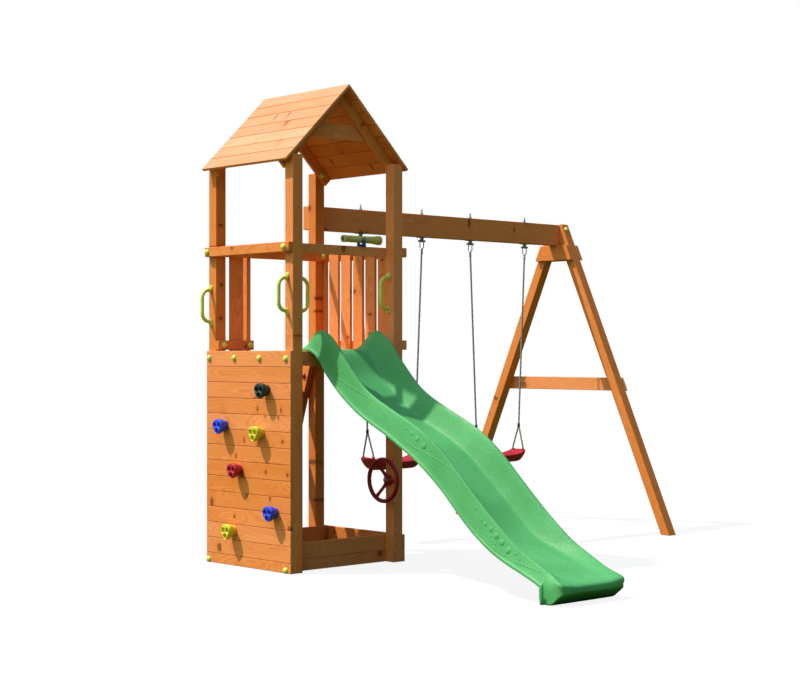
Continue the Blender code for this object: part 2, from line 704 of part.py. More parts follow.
def slide_section(rim, floor, edge, base, half, rim_half):
    """Points across the slide's upper side, from one outer edge to the other."""
    wall = rim - floor
    lip = min(0.012, 0.4 * wall)
    flange = min(SLIDE_FLANGE, 0.4 * (rim - edge))
    outer = SLIDE_HALF - 0.008
    side = [(half, base), (half, edge + flange), (outer, edge + 1.6 * flange),
            (rim_half + 0.007, rim - lip), (rim_half + 0.002, rim - 0.2 * lip), (rim_half - 0.006, rim),
            (rim_half - 0.014, rim - 0.4 * lip), (SLIDE_FLOOR_HALF + 0.016, floor + 0.22 * wall),
            (SLIDE_FLOOR_HALF, floor + 0.04 * wall), (SLIDE_FLOOR_HALF - 0.018, floor), (0.040, floor - 0.001)]
    return [(-x, z) for x, z in side] + side[::-1]


def inset_section(points, depth):
    """The same points moved inwards by a depth, square to the line through them."""
    moved = []
    for index, (x, z) in enumerate(points):
        before = points[max(index - 1, 0)]
        after = points[min(index + 1, len(points) - 1)]
        along = Vector((after[0] - before[0], after[1] - before[1])).normalized()
        moved.append((x + depth * along.y, z - depth * along.x))
    moved[0] = (points[0][0] + depth, points[0][1])
    moved[-1] = (points[-1][0] - depth, points[-1][1])
    return moved


def slide_levels(run):
    """Heights of the rim, floor and outer edge, and the widths, at a distance from the posts' faces."""
    share = run / SLIDE_RUN
    rim = DECK_TOP * smooth_line(SLIDE_RIM)(share)
    floor = DECK_TOP * smooth_line(SLIDE_FLOOR)(share)
    edge = DECK_TOP * smooth_line(SLIDE_EDGE)(share)
    seat = DECK_TOP + GAP
    past = max(0.0, run - (SLIDE_RUN - SLIDE_OVERHANG)) / SLIDE_OVERHANG
    if run < FRONT - INNER_FRONT + 0.006:
        edge = seat
    floor = max(floor, seat + SLIDE_SKIN + 0.0015) if run < FRONT - INNER_FRONT + 0.006 else floor
    rim = max(rim, floor + 0.006)
    rim_half = SLIDE_RIM_HALF + past ** 0.7 * (SLIDE_HALF - 0.006 - SLIDE_RIM_HALF)
    return rim, floor, edge, SLIDE_HALF, rim_half


def make_slide():
    foot_front = SLIDE_RUN - SLIDE_OVERHANG
    foot_back = foot_front - SLIDE_FOOT
    nose = {foot_front + share * SLIDE_OVERHANG: (share, drop, narrow) for share, drop, narrow in SLIDE_NOSE}
    shell_start = FRONT - INNER_FRONT - 0.002
    runs = [-SLIDE_LIP, -SLIDE_LIP + 0.018, shell_start - 0.012, shell_start, shell_start + 0.014]
    runs += [-0.040, -0.025, -0.010, 0.006, 0.022, 0.040, 0.062, 0.088, 0.115, 0.145]
    count = 20
    step = (foot_back - 0.030 - 0.180) / (count - 1)
    runs += [0.180 + step * index for index in range(count)]
    stations = [(run, "shell") for run in runs]
    stations += [(foot_back - 0.008, "shell"), (foot_back - 0.0004, "solid"), (foot_back, "rib"),
                 (foot_back + SLIDE_FOOT_RIB, "rib"), (foot_back + 1.4 * SLIDE_FOOT_RIB, "foot"),
                 (foot_front, "foot")]
    stations += [(run, "nose") for run in nose]
    bm = bmesh.new()
    loops = []
    for run, kind in stations:
        rim, floor, edge, half, rim_half = slide_levels(run)
        share, drop, narrow = nose.get(run, (0.0, 0.0, 0.0))
        base = edge if kind in ("shell", "solid") else share * SLIDE_TIP
        edge += share * (SLIDE_TIP - edge)
        if kind in ("foot", "nose"):
            half = SLIDE_HALF - 0.008
        upper = slide_section(rim - drop, floor - drop, edge, base, half, rim_half)
        if kind == "shell":
            lower = inset_section(upper, SLIDE_SKIN)
        else:
            inside = half - SLIDE_SKIN
            lower = [(-inside + 2 * inside * index / (len(upper) - 1), base) for index in range(len(upper))]
        shrink = 1 - narrow / SLIDE_HALF
        loops.append([bm.verts.new((MIDDLE + x * shrink, FRONT - run, z)) for x, z in upper + lower[::-1]])
    for here, there in zip(loops, loops[1:]):
        for index in range(len(here)):
            after = (index + 1) % len(here)
            bm.faces.new((here[index], here[after], there[after], there[index]))
    bm.faces.new(loops[0])
    bm.faces.new(loops[-1])
    from_bmesh("slide", bm, "slide", smooth=True)


def make_handle(name, face, out, across, height):
    """A grab handle on a post face: out is the way off the face, along X."""
    half = HANDLE_LENGTH / 2
    pad_mid = half - HANDLE_PAD / 2
    base = face + out * GAP
    points = []
    steps = 8
    reach = HANDLE_REACH - HANDLE_BAR
    root = pad_mid - 0.010
    points.append((base + out * HANDLE_PAD_THICK / 2, across, root))
    for step in range(1, steps + 1):
        angle = math.pi / 2 * step / steps
        points.append((base + out * reach * math.sin(angle), across,
                       HANDLE_STRAIGHT / 2 + (root - HANDLE_STRAIGHT / 2) * math.cos(angle)))
    points += [(x, y, -z) for x, y, z in points[::-1]]
    points = [(x, y, height + z) for x, y, z in points]
    handle = tube(name, points, HANDLE_BAR, "lime")
    pads = []
    for side in (-1, 1):
        middle = height + side * pad_mid
        inner = Vector((base, across, middle))
        outer = Vector((base + out * HANDLE_PAD_THICK, across, middle))
        pad = cylinder("pad", inner, outer, HANDLE_PAD / 2, "lime", 20, HANDLE_PAD / 2 - 0.004)
        pads.append(pad)
    return combine(handle, pads)


def make_handles():
    make_handle("handle_back_left", LEFT, -1, BACK - 0.020, DECK_TOP + HANDLE_RISE["back_left"])
    make_handle("handle_front_left", LEFT, -1, FRONT + 0.046, DECK_TOP + HANDLE_RISE["front_left"])
    make_handle("handle_slide_left", INNER_LEFT, 1, 0.0, DECK_TOP + HANDLE_RISE["slide_left"])
    make_handle("handle_slide_right", INNER_RIGHT, -1, FRONT + 0.040, DECK_TOP + HANDLE_RISE["slide_right"])


def make_grips():
    counts = {}
    face = LEFT - 2 * GAP - BOARD_THICK
    for across, height, colour in GRIPS:
        counts[colour] = counts.get(colour, 0) + 1
        name = f"grip_{colour}_{counts[colour]}"
        y = FRONT + across
        profile = ((0.0, 0.70), (0.20, 0.69), (0.40, 0.82), (0.58, 0.96), (0.78, 1.0), (1.0, 0.90))
        grip = turned(name, (face, y, height), [(-share * GRIP_REACH, radius * GRIP_RADIUS)
                                                for share, radius in profile], colour, 18, lobes=-0.10)
        hollows = []
        for hollow in range(3):
            angle = math.pi / 3 + hollow * 2 * math.pi / 3
            middle = Vector((face - GRIP_REACH, y + GRIP_HOLLOW_OUT * math.sin(angle),
                             height - GRIP_HOLLOW_DROP + GRIP_HOLLOW_OUT * math.cos(angle)))
            hollows.append(cylinder("hollow", middle + Vector((GRIP_HOLLOW_DEPTH, 0, 0)),
                                    middle - Vector((0.004, 0, 0)), 0.6 * GRIP_HOLLOW, colour, 12, GRIP_HOLLOW))
        combine(grip, hollows, "DIFFERENCE")


def make_steering_wheel():
    face = INNER_RIGHT
    y = FRONT + POST / 2
    rim_x = face - WHEEL_OUT
    rim = []
    count = 40
    for step in range(count):
        angle = 2 * math.pi * step / count
        rim.append((rim_x, y + WHEEL_RADIUS * math.cos(angle), WHEEL_HEIGHT + WHEEL_RADIUS * math.sin(angle)))
    wheel = ring_solid("steering_wheel", rim, WHEEL_BAR, "red", 12)
    hub_back = face - 0.0015
    hub_front = hub_back - HUB_LENGTH
    parts = [cylinder("hub", (hub_back, y, WHEEL_HEIGHT), (hub_front, y, WHEEL_HEIGHT), HUB_RADIUS, "red", 24,
                      0.8 * HUB_RADIUS)]
    for spoke in range(3):
        angle = math.pi + spoke * 2 * math.pi / 3
        direction = Vector((0, math.cos(angle), math.sin(angle)))
        centre = Vector((hub_back - HUB_LENGTH / 2, y, WHEEL_HEIGHT))
        start = centre + direction * 0.4 * HUB_RADIUS
        end = Vector((rim_x, y, WHEEL_HEIGHT)) + direction * WHEEL_RADIUS
        parts.append(cylinder("spoke", start, end, 0.0105, "red", 10))
    wheel = combine(wheel, parts)
    bore = cylinder("bore", (hub_back + 0.01, y, WHEEL_HEIGHT), (hub_front - 0.01, y, WHEEL_HEIGHT),
                    AXLE_RADIUS + RUN, "red", 20)
    combine(wheel, [bore], "DIFFERENCE")
    axle = cylinder("steering_wheel_axle", (face - GAP, y, WHEEL_HEIGHT), (hub_front - 0.003, y, WHEEL_HEIGHT),
                    AXLE_RADIUS, "steel", 20)
    head = cylinder("head", (hub_front - RUN, y, WHEEL_HEIGHT), (hub_front - 0.007, y, WHEEL_HEIGHT),
                    AXLE_HEAD, "steel", 20, 0.7 * AXLE_HEAD)
    combine(axle, [head])


def make_telescope():
    x = LEFT + SCOPE_CENTRE
    y = INNER_FRONT + GAP + RAIL_INNER_THICK / 2
    axis = RAIL_TOP + SCOPE_RISE
    make_telescope_base(x, y)
    make_telescope_fork(x, y, axis)
    make_telescope_tube(x, y, axis)


def make_telescope_base(x, y):
    """A plate on the rail with the headed pin that the fork turns on."""
    top = RAIL_TOP + GAP + SCOPE_PLATE
    half = RAIL_INNER_THICK / 2
    base = box("telescope_base", (x - SCOPE_FOOT, x + SCOPE_FOOT), (y - half, y + half),
               (RAIL_TOP + GAP, top), "blue")
    head = top + GAP + SCOPE_PLATE + GAP
    pin = cylinder("pin", (x, y, top - SCOPE_PLATE / 2), (x, y, head + SCOPE_HEAD / 2), SCOPE_PIN, "blue", 20)
    cap = cylinder("cap", (x, y, head), (x, y, head + SCOPE_HEAD), 1.8 * SCOPE_PIN, "blue", 20)
    combine(base, [pin, cap])


def make_telescope_fork(x, y, axis):
    """A round plate with a hole for the pin and two arms that hold the tube."""
    floor = RAIL_TOP + SCOPE_PLATE + 2 * GAP
    inner = SCOPE_BODY + SCOPE_CLEAR
    fork = cylinder("telescope_fork", (x, y, floor), (x, y, floor + SCOPE_PLATE), inner + FORK_ARM, "blue", 28)
    low = floor + SCOPE_PLATE / 2
    shape = [(x - FORK_EYE, low), (x + FORK_EYE, low)]
    steps = 12
    for step in range(steps + 1):
        angle = math.pi * step / steps
        shape.append((x + FORK_EYE * math.cos(angle), axis + FORK_EYE * math.sin(angle)))
    arms = []
    for side in (-1, 1):
        near = y + side * inner
        arms.append(prism("arm", shape, near, near + side * 0.9 * FORK_ARM, "Y", "blue"))
    combine(fork, arms)
    reach = inner + 2 * FORK_ARM
    holes = [cylinder("hole", (x, y, floor - SCOPE_PLATE), (x, y, floor + 2 * SCOPE_PLATE), SCOPE_PIN + RUN,
                      "blue", 20),
             cylinder("hole", (x, y - reach, axis), (x, y + reach, axis), SCOPE_STUB + RUN, "blue", 20)]
    combine(fork, holes, "DIFFERENCE")


def make_telescope_tube(x, y, axis):
    """The hollow tube, turned about its own axis, with a stub on each side for the fork."""
    half = SCOPE_LENGTH / 2
    waist = SCOPE_BODY + 0.002
    profile = ((-half, SCOPE_BORE), (-half, SCOPE_EYE), (-half + 0.014, SCOPE_EYE), (-half + 0.020, SCOPE_BODY),
               (half - 0.062, waist), (half - 0.022, SCOPE_FRONT - 0.001), (half - 0.006, SCOPE_FRONT),
               (half, SCOPE_FRONT - 0.003), (half, SCOPE_BORE + 0.004), (half - 0.030, SCOPE_BORE))
    scope = turned("telescope_tube", (x, y, axis), profile, "green", 24, closed=True)
    stubs = []
    for side in (-1, 1):
        stubs.append(cylinder("stub", (x, y + side * (SCOPE_BODY - 0.002), axis),
                              (x, y + side * (SCOPE_BODY + SCOPE_CLEAR + FORK_ARM), axis), SCOPE_STUB, "green", 16))
    combine(scope, stubs)


def main():
    clear_scene()
    make_posts()
    make_climbing_wall()
    make_deck()
    make_sandbox()
    make_rails()
    make_swing_side_railing()
    make_ladder_side_infill()
    make_ladder()
    make_roof()
    make_rafters()
    make_swing_frame()
    make_swings()
    make_slide()
    make_handles()
    make_grips()
    make_steering_wheel()
    make_telescope()


main()
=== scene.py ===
# %% [markdown]
# # A wooden play tower with a slide and two swings
#
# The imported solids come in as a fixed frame, in metres. Each step below dresses one kind of piece:
# timber gets eased edges and a grain that follows each board, plastic gets its moulded shape and
# pebbled skin, and the swings get twisted ropes, links and bolts.

# %% Load the frame
import json
import math
import random

import bmesh
import bpy
from mathutils import Matrix, Vector
from mathutils.bvhtree import BVHTree

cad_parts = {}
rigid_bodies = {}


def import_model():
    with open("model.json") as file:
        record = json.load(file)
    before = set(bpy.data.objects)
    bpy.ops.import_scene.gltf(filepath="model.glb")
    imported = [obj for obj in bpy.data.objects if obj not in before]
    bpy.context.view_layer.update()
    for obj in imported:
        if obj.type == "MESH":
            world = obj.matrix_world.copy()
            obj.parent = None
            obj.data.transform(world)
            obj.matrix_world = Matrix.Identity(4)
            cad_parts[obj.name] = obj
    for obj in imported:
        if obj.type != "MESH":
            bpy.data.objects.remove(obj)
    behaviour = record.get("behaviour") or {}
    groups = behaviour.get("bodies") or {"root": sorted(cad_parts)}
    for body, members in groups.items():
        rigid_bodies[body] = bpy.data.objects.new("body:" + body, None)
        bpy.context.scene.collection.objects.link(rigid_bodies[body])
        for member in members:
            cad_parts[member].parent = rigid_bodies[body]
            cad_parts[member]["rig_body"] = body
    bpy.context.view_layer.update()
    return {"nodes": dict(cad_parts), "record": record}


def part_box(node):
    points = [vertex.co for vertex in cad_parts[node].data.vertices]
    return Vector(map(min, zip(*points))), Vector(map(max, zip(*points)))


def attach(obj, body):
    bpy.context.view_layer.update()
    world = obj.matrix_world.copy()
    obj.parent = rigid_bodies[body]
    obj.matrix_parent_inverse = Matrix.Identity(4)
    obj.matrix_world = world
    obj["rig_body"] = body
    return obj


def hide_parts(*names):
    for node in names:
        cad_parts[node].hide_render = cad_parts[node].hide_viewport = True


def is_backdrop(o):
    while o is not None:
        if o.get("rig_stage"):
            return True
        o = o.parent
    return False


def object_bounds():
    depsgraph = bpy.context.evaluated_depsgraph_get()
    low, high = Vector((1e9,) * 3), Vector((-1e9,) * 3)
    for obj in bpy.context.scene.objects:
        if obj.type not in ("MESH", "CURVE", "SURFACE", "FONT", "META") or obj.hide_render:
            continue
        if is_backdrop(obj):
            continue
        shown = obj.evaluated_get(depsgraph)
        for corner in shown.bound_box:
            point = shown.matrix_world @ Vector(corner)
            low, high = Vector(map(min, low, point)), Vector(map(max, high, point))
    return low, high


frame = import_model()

NODES = frame["nodes"]
SLOTS = {item["node"]: item["material_slot"] for item in frame["record"]["subparts"]}
TOWER = "tower_and_frame"
X, Y, Z = Vector((1, 0, 0)), Vector((0, 1, 0)), Vector((0, 0, 1))

# %% [markdown]
# ## The camera
#
# A picture taken level, from two tower heights away, has upright posts that stay parallel. The
# camera therefore looks straight ahead, and a small vertical shift moves the picture instead of
# tilting it.

# %% Camera
scene = bpy.context.scene
camera = bpy.data.objects.new("camera", bpy.data.cameras.new("camera"))
scene.collection.objects.link(camera)
camera.location = (-5.690, -7.0122, 1.1891)
camera.rotation_euler = (math.pi / 2, 0, -0.7452)     # level, and turned from +Y towards +X
camera.data.lens = 75.09
camera.data.sensor_width = 36
camera.data.shift_y = 0.0066
scene.camera = camera
scene.view_settings.view_transform = "Standard"
print("camera at", [round(v, 2) for v in camera.location], "lens", round(camera.data.lens), "mm")

# %% [markdown]
# ## Small helpers
#
# Colours are written as they look on a screen, and turned into the linear values that a shader
# needs. One function adds a shader node, so each material reads as a list of what feeds what.

# %% Colours and shader nodes


def colour(text):
    """A colour such as 'e58b45' as linear red, green, blue and alpha."""
    parts = [int(text[i:i + 2], 16) / 255 for i in (0, 2, 4)]
    return tuple(c / 12.92 if c < 0.04045 else ((c + 0.055) / 1.055) ** 2.4 for c in parts) + (1.0,)


def feed(tree, node, sockets):
    """Give each socket of a node its value, or the output that feeds it."""
    for key, value in sockets.items():
        if isinstance(value, bpy.types.NodeSocket):
            tree.links.new(value, node.inputs[key])
        else:
            node.inputs[key].default_value = value


def add(tree, kind, sockets=None, **settings):
    """A new shader node, with its settings and what feeds its sockets."""
    made = tree.nodes.new("ShaderNode" + kind)
    for key, value in settings.items():
        setattr(made, key, value)
    feed(tree, made, sockets or {})
    return made


def new_material(name):
    """A new material, its node tree and its main shader."""
    mat = bpy.data.materials.new(name)
    mat.use_nodes = True
    return mat, mat.node_tree, mat.node_tree.nodes["Principled BSDF"]


def maths(tree, operation, a, b):
    return add(tree, "Math", {0: a, 1: b}, operation=operation).outputs[0]


def times(tree, a, b):
    return maths(tree, "MULTIPLY", a, b)


def vector_maths(tree, operation, a, b):
    return add(tree, "VectorMath", {0: a, 1: b}, operation=operation).outputs[0]


def scaled(tree, vector, scale):
    return vector_maths(tree, "MULTIPLY", vector, scale)


def noise(tree, vector, scale, detail):
    return add(tree, "TexNoise", {"Vector": vector, "Scale": scale, "Detail": detail})


def band(tree, value, low, high, start=0.0, end=1.0):
    """A value mapped smoothly from one range onto another."""
    sockets = {"Value": value, "From Min": low, "From Max": high, "To Min": start, "To Max": end}
    return add(tree, "MapRange", sockets, interpolation_type="SMOOTHSTEP").outputs["Result"]


def mix(tree, share, a, b, blend="MIX"):
    made = add(tree, "Mix", {0: share, 6: a, 7: b}, data_type="RGBA", blend_type=blend)
    return made.outputs[2]


def tinted(tree, base, share, most, tint):
    """A base colour under a tint, which is as strong as most where share is 1."""
    return mix(tree, times(tree, share, most), base, tint)


def bumps(tree, height, strength, distance):
    sockets = {"Height": height, "Strength": strength, "Distance": distance}
    return add(tree, "Bump", sockets).outputs[0]


# %% [markdown]
# ## Sunlight and a plain white surround
#
# The picture was taken in the sun. A hard sun high on the left lights the faces towards -X. The sky
# above is bluish, brighter on the sun's side, and the horizon is a dark green, but for a sunny
# meadow towards -X. The floor gives back a dull green, as grass does, so that faces in the shade
# turn olive. To the camera alone, floor and sky are white.

# %% Light and floor
SUN_RAYS = Vector((0.411, -0.349, -0.842))     # the way that sunlight travels
SUN_SIDE = (-0.80, 0.35, 0.49)                 # where the sky is brightest
MEADOW_SIDE = (-0.94, 0.34, 0.0)               # where the horizon is sunny

sun = bpy.data.objects.new("sun", bpy.data.lights.new("sun", "SUN"))
scene.collection.objects.link(sun)
sun.data.energy = 4.75
sun.data.angle = 0.02
sun.data.color = colour("fff4e4")[:3]
sun.rotation_euler = SUN_RAYS.to_track_quat("-Z", "Y").to_euler()


def seen_directly(tree):
    """1 for a ray from the camera, also through glass, and 0 for a ray that carries light."""
    rays = add(tree, "LightPath").outputs
    return maths(tree, "MAXIMUM", rays["Is Camera Ray"], rays["Is Transmission Ray"])


def towards(tree, way, direction):
    """1 in a direction, 0 at right angles to it and -1 opposite."""
    sockets = {0: way, 1: direction}
    return add(tree, "VectorMath", sockets, operation="DOT_PRODUCT").outputs["Value"]


world = bpy.data.worlds.new("sky")
scene.world = world
world.use_nodes = True
tree = world.node_tree
way = add(tree, "TexCoord").outputs["Generated"]
height = add(tree, "SeparateXYZ", {0: way}).outputs["Z"]
light = mix(tree, band(tree, height, 0.05, 0.85), colour("4c6138"), colour("b7c6e2"))
strength = band(tree, towards(tree, way, SUN_SIDE), -0.5, 1.0, 0.64, 1.75)
light = add(tree, "VectorMath", {0: light, "Scale": strength}, operation="SCALE").outputs[0]
meadow = band(tree, towards(tree, way, MEADOW_SIDE), 0.0, 0.95)
light = mix(tree, meadow, light, colour("cbd2aa"), "ADD")
sky = mix(tree, seen_directly(tree), light, colour("ffffff"))
feed(tree, tree.nodes["Background"], {"Color": sky})

mat, tree, shader = new_material("mown grass, white to the camera")
feed(tree, shader, {"Base Color": colour("4d5a30"), "Roughness": 1.0, "Specular IOR Level": 0.0})
glow = add(tree, "Emission", {"Color": colour("ffffff"), "Strength": 1.0}).outputs[0]
pale = add(tree, "BsdfDiffuse", {"Color": colour("d8d8d8")}).outputs[0]
lit = add(tree, "MixShader", {0: 0.88, 1: pale, 2: glow}).outputs[0]
shown = add(tree, "MixShader", {0: seen_directly(tree), 1: shader.outputs[0], 2: lit}).outputs[0]
feed(tree, tree.nodes["Material Output"], {"Surface": shown})
bm = bmesh.new()
bmesh.ops.create_grid(bm, x_segments=1, y_segments=1, size=40)
bmesh.ops.translate(bm, vec=(1.5, 0, -0.0005), verts=bm.verts)
ground = bpy.data.objects.new("ground", bpy.data.meshes.new("ground"))
bm.to_mesh(ground.data)
bm.free()
ground.data.materials.append(mat)
scene.collection.objects.link(ground)
ground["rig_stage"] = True
print("light: a sun of", sun.data.energy, "and a sky of", len(world.node_tree.nodes), "nodes")

# %% [markdown]
# ## Stained pine
#
# A board is cut out of a log, so its grain is a slice through rings round a heart that wanders
# along the board. The material works the same way. Each board carries its own coordinates, along,
# across and through, in an attribute called grain. Rings round the heart give the arches on a wide
# face, a flat cell pattern gives the knots, and a stretched noise gives the fibres. Other
# attributes say how pale a board is, where a paler colour is painted on the roof's upper faces as
# a painted sheen of sky light, and where stain has pooled in a joint.

# %% Wood material
MARKS = ("tone", "roof_sheen", "seam")
# stretch, cells in a metre, a knot's size in its cell, and the share of cells that have one
KNOTS = (((0.9, 0.8, 1.0), 6.0, 0.120, 0.20), ((1.8, 0.9, 1.0), 5.0, 0.150, 0.30))


def knot_layer(tree, grain, stretch, cells, size, share):
    """The knots in a flat cell pattern, and the halo round each."""
    cell = add(tree, "TexVoronoi", {"Vector": scaled(tree, grain, stretch), "Scale": cells,
                                    "Randomness": 1.0}, voronoi_dimensions="2D")
    kind = add(tree, "SeparateColor", {0: cell.outputs["Color"]}).outputs
    there = maths(tree, "LESS_THAN", kind[0], share)
    growth = band(tree, kind[1], 0.0, 1.0, 0.55, 1.2)
    reach = maths(tree, "DIVIDE", cell.outputs["Distance"], growth)
    spot = times(tree, band(tree, reach, size, 0.65 * size), there)
    halo = times(tree, band(tree, reach, 3 * size, size), there)
    return spot, halo


def wander(tree, grain, stretch, detail, reach):
    """A vector that wanders with a noise, half of reach to each side."""
    field = noise(tree, scaled(tree, grain, stretch), 1.0, detail).outputs["Color"]
    return scaled(tree, vector_maths(tree, "SUBTRACT", field, (0.5, 0.5, 0.5)), reach)


def stained_pine():
    mat, tree, shader = new_material("stained pine")
    grain = add(tree, "Attribute", attribute_name="grain").outputs["Vector"]
    tone, roof_sheen, seam = (add(tree, "Attribute", attribute_name=name).outputs["Fac"]
                          for name in MARKS)
    layers = [knot_layer(tree, grain, *layer) for layer in KNOTS]
    spot, halo = (maths(tree, "MAXIMUM", *pair) for pair in zip(*layers))
    heart = wander(tree, grain, (1.5, 4.0, 4.0), 1.0, (0, 0.14, 0.14))
    ripple = wander(tree, grain, (7.0, 45.0, 45.0), 2.0, (0, 0.006, 0.006))
    bend = add(tree, "CombineXYZ", {2: times(tree, halo, 0.014)}).outputs[0]
    at = grain
    for shift in (heart, ripple, bend):
        at = vector_maths(tree, "ADD", at, shift)
    rings = add(tree, "TexWave", {"Vector": at, "Scale": 50.0, "Distortion": 0.0},
                wave_type="RINGS", rings_direction="X", wave_profile="SAW").outputs["Fac"]
    line = maths(tree, "POWER", rings, 2.6)
    fibre = noise(tree, scaled(tree, grain, (9.0, 420.0, 420.0)), 1.0, 3.0).outputs["Fac"]
    cloud = noise(tree, scaled(tree, grain, (2.5, 14.0, 14.0)), 1.0, 2.0).outputs["Fac"]
    cloud = band(tree, cloud, 0.3, 0.75)
    base = mix(tree, cloud, colour("ea9254"), colour("e38a4b"))
    base = tinted(tree, base, line, 0.55, colour("c46a35"))
    base = tinted(tree, base, band(tree, fibre, 0.35, 0.8), 0.28, colour("cc7436"))
    base = tinted(tree, base, halo, 0.26, colour("c0642c"))
    # On the roof's upper faces the wood, its knots and its joints take a paler colour: a painted
    # sheen of sky light.
    sheen_colour = mix(tree, cloud, colour("c8946d"), colour("be8961"))
    sheen_colour = tinted(tree, sheen_colour, line, 0.30, colour("b87750"))
    sheen_colour = tinted(tree, sheen_colour, halo, 0.35, colour("b0694a"))
    base = mix(tree, roof_sheen, base, sheen_colour)
    base = tinted(tree, base, spot, 0.80, mix(tree, roof_sheen, colour("77401c"), colour("97503a")))
    base = tinted(tree, base, seam, 0.45, mix(tree, roof_sheen, colour("a85a2a"), colour("b5704b")))
    bright = add(tree, "HueSaturation", {"Value": band(tree, tone, -1.0, 1.0, 0.93, 1.06),
                                         "Saturation": band(tree, tone, -1.0, 1.0, 1.04, 0.97),
                                         "Color": base}).outputs[0]
    relief = maths(tree, "ADD", times(tree, fibre, 0.6), times(tree, line, 0.4))
    relief = maths(tree, "SUBTRACT", relief, times(tree, spot, 0.5))
    feed(tree, shader, {"Base Color": bright, "Roughness": band(tree, fibre, 0.2, 0.8, 0.50, 0.70),
                        "Specular IOR Level": 0.25, "Normal": bumps(tree, relief, 0.35, 0.0015)})
    return mat


pine = stained_pine()
print("wood:", len(pine.node_tree.nodes), "nodes")

# %% [markdown]
# ## Timber
#
# A CAD solid has razor edges and doesn't know where one board ends. A welded copy of each is parted
# at its joints with bisect_plane, its outer edges are eased by 2 mm with bevel, and each board's
# faces get coordinates along, across and through the wood, with a shift of their own so that no two
# boards match.

# %% From a solid to a piece


def box(node):
    """The lowest and the highest corner of a CAD node."""
    return [Vector(corner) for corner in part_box(node)]


def welded(node, flat=None):
    """A copy of a CAD node's triangles as one bmesh; faces within flat degrees become one."""
    bm = bmesh.new()
    bm.from_mesh(NODES[node].data)
    bmesh.ops.remove_doubles(bm, verts=bm.verts, dist=2e-5)
    if flat:
        bmesh.ops.dissolve_limit(bm, angle_limit=math.radians(flat), verts=bm.verts, edges=bm.edges)
    return bm


def ease_edges(bm, over, offset, slide=False):
    """Round the outward edges that turn by more than over degrees; the new faces."""
    sharp = [e for e in bm.edges
             if e.is_manifold and e.calc_face_angle_signed(0) > math.radians(over)]
    return bmesh.ops.bevel(bm, geom=sharp, offset=offset, segments=2, profile=0.5, affect="EDGES",
                           material=-1, clamp_overlap=True, loop_slide=slide)["faces"]


def finish_piece(name, bm, mat, body, slot, smooth, stands_for=()):
    """A piece from a bmesh: in its place, riding on its body, and standing for its CAD nodes."""
    mesh = bpy.data.meshes.new(name)
    bm.to_mesh(mesh)
    bm.free()
    if smooth:
        mesh.shade_smooth()
        mesh.set_sharp_from_angle(angle=math.radians(smooth))
    obj = bpy.data.objects.new(name, mesh)
    scene.collection.objects.link(obj)
    mesh.materials.append(mat)
    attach(obj, body)
    if stands_for:
        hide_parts(*stands_for)
    return obj


def finish_new(name, bm, *rest):
    """Finish a piece that isn't a copy of a solid: its faces are turned outwards first."""
    bmesh.ops.recalc_face_normals(bm, faces=bm.faces)
    finish_piece(name, bm, *rest)


# %% Where boards meet and which way they run
BOARD = 0.088                # cover width of a board of the wall or the deck
WALL_JOINTS = 13
DECK_JOINTS = 6
SANDBOX_JOINT = 0.064        # top of the sandbox's lower boards
DECK_UNDERSIDE = 1.1765      # joists lie below this height, boards above it
ROOF_BOARDS = 7              # on each side
ROOF_HALF = 0.401            # from the ridge to the tower's outer face
PITCH = math.radians(44.5)
# which way each panel falls, how far below the ridge it starts, and its overhang
ROOF_PANELS = {"roof_left": (-1, 0.0, 0.052), "roof_right": (1, 0.0163, 0.047)}
DOWN = {side: Vector((side * math.cos(PITCH), 0, -math.sin(PITCH))) for side in (-1, 1)}
MIDDLE = 0.367               # the ridge's X, and the slide's middle
RAILING_SLATS = 0.7682       # slats lie below this X, their rails beyond it
FIRST_SLAT = 0.08
SLAT_SPACING = 0.1085
BETWEEN_RAILS = 1.5
LADDER_LEAN = math.radians(18.2)
STRINGER = 0.043             # a little more than a stringer's thickness
TREAD_RISE = 0.24
TREAD_START = -0.05          # from here up, each tread lies well inside one rise
LEG_LEAN = math.radians(24.32)


def joints_in(node):
    """The direction across a node's boards, and where along it one board meets the next."""
    low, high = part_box(node)
    if node == "climbing_wall":
        return Z, [high[2] - BOARD * k for k in range(1, WALL_JOINTS + 1)]
    if node.startswith("sandbox"):
        return Z, [SANDBOX_JOINT]
    if node == "deck_platform":
        return Y, [low[1] + BOARD * k for k in range(1, DECK_JOINTS + 1)]
    if node in ROOF_PANELS:
        side, start, over = ROOF_PANELS[node]
        ridge = Vector((MIDDLE, 0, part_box("roof_left")[1][2]))
        width = ((ROOF_HALF + over) / math.cos(PITCH) - start) / ROOF_BOARDS
        first = DOWN[side].dot(ridge) + start
        return DOWN[side], [first + width * k for k in range(1, ROOF_BOARDS)]
    return Z, []


def board_at(node, spot):
    """A number for the board at a spot of a node, and the way its grain runs.

    Numbers from 10 or 20 keep a node's other row of boards apart from its first.
    """
    low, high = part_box(node)
    sizes = [b - a for a, b in zip(low, high)]
    across, places = joints_in(node)
    number = sum(spot.dot(across) > place for place in places)
    if node == "climbing_wall":
        return number, Y
    if node == "swing_side_railing":
        if spot.x < RAILING_SLATS:
            return 10 + int((spot.y - FIRST_SLAT) / SLAT_SPACING), Z
        return int(spot.z > BETWEEN_RAILS), Y
    if node == "deck_platform" and spot.z < DECK_UNDERSIDE:
        return 20 + int(spot.x > MIDDLE), Y
    if node == "ladder":
        middle = (low[0] + high[0]) / 2
        if abs(spot.x - middle) < sizes[0] / 2 - STRINGER:
            return int((spot.z - TREAD_START) / TREAD_RISE), X
        return 10 + int(spot.x > middle), Vector((0, -math.sin(LADDER_LEAN), math.cos(LADDER_LEAN)))
    if node.startswith("stand_leg"):
        side = -1 if "front" in node else 1
        return 0, Vector((0, side * math.sin(LEG_LEAN), -math.cos(LEG_LEAN)))
    if node.startswith("rafter"):
        return 0, DOWN[-1 if "left" in node else 1]
    return number, (X, Y, Z)[sizes.index(max(sizes))]


# %% Ease the edges and lay the grain


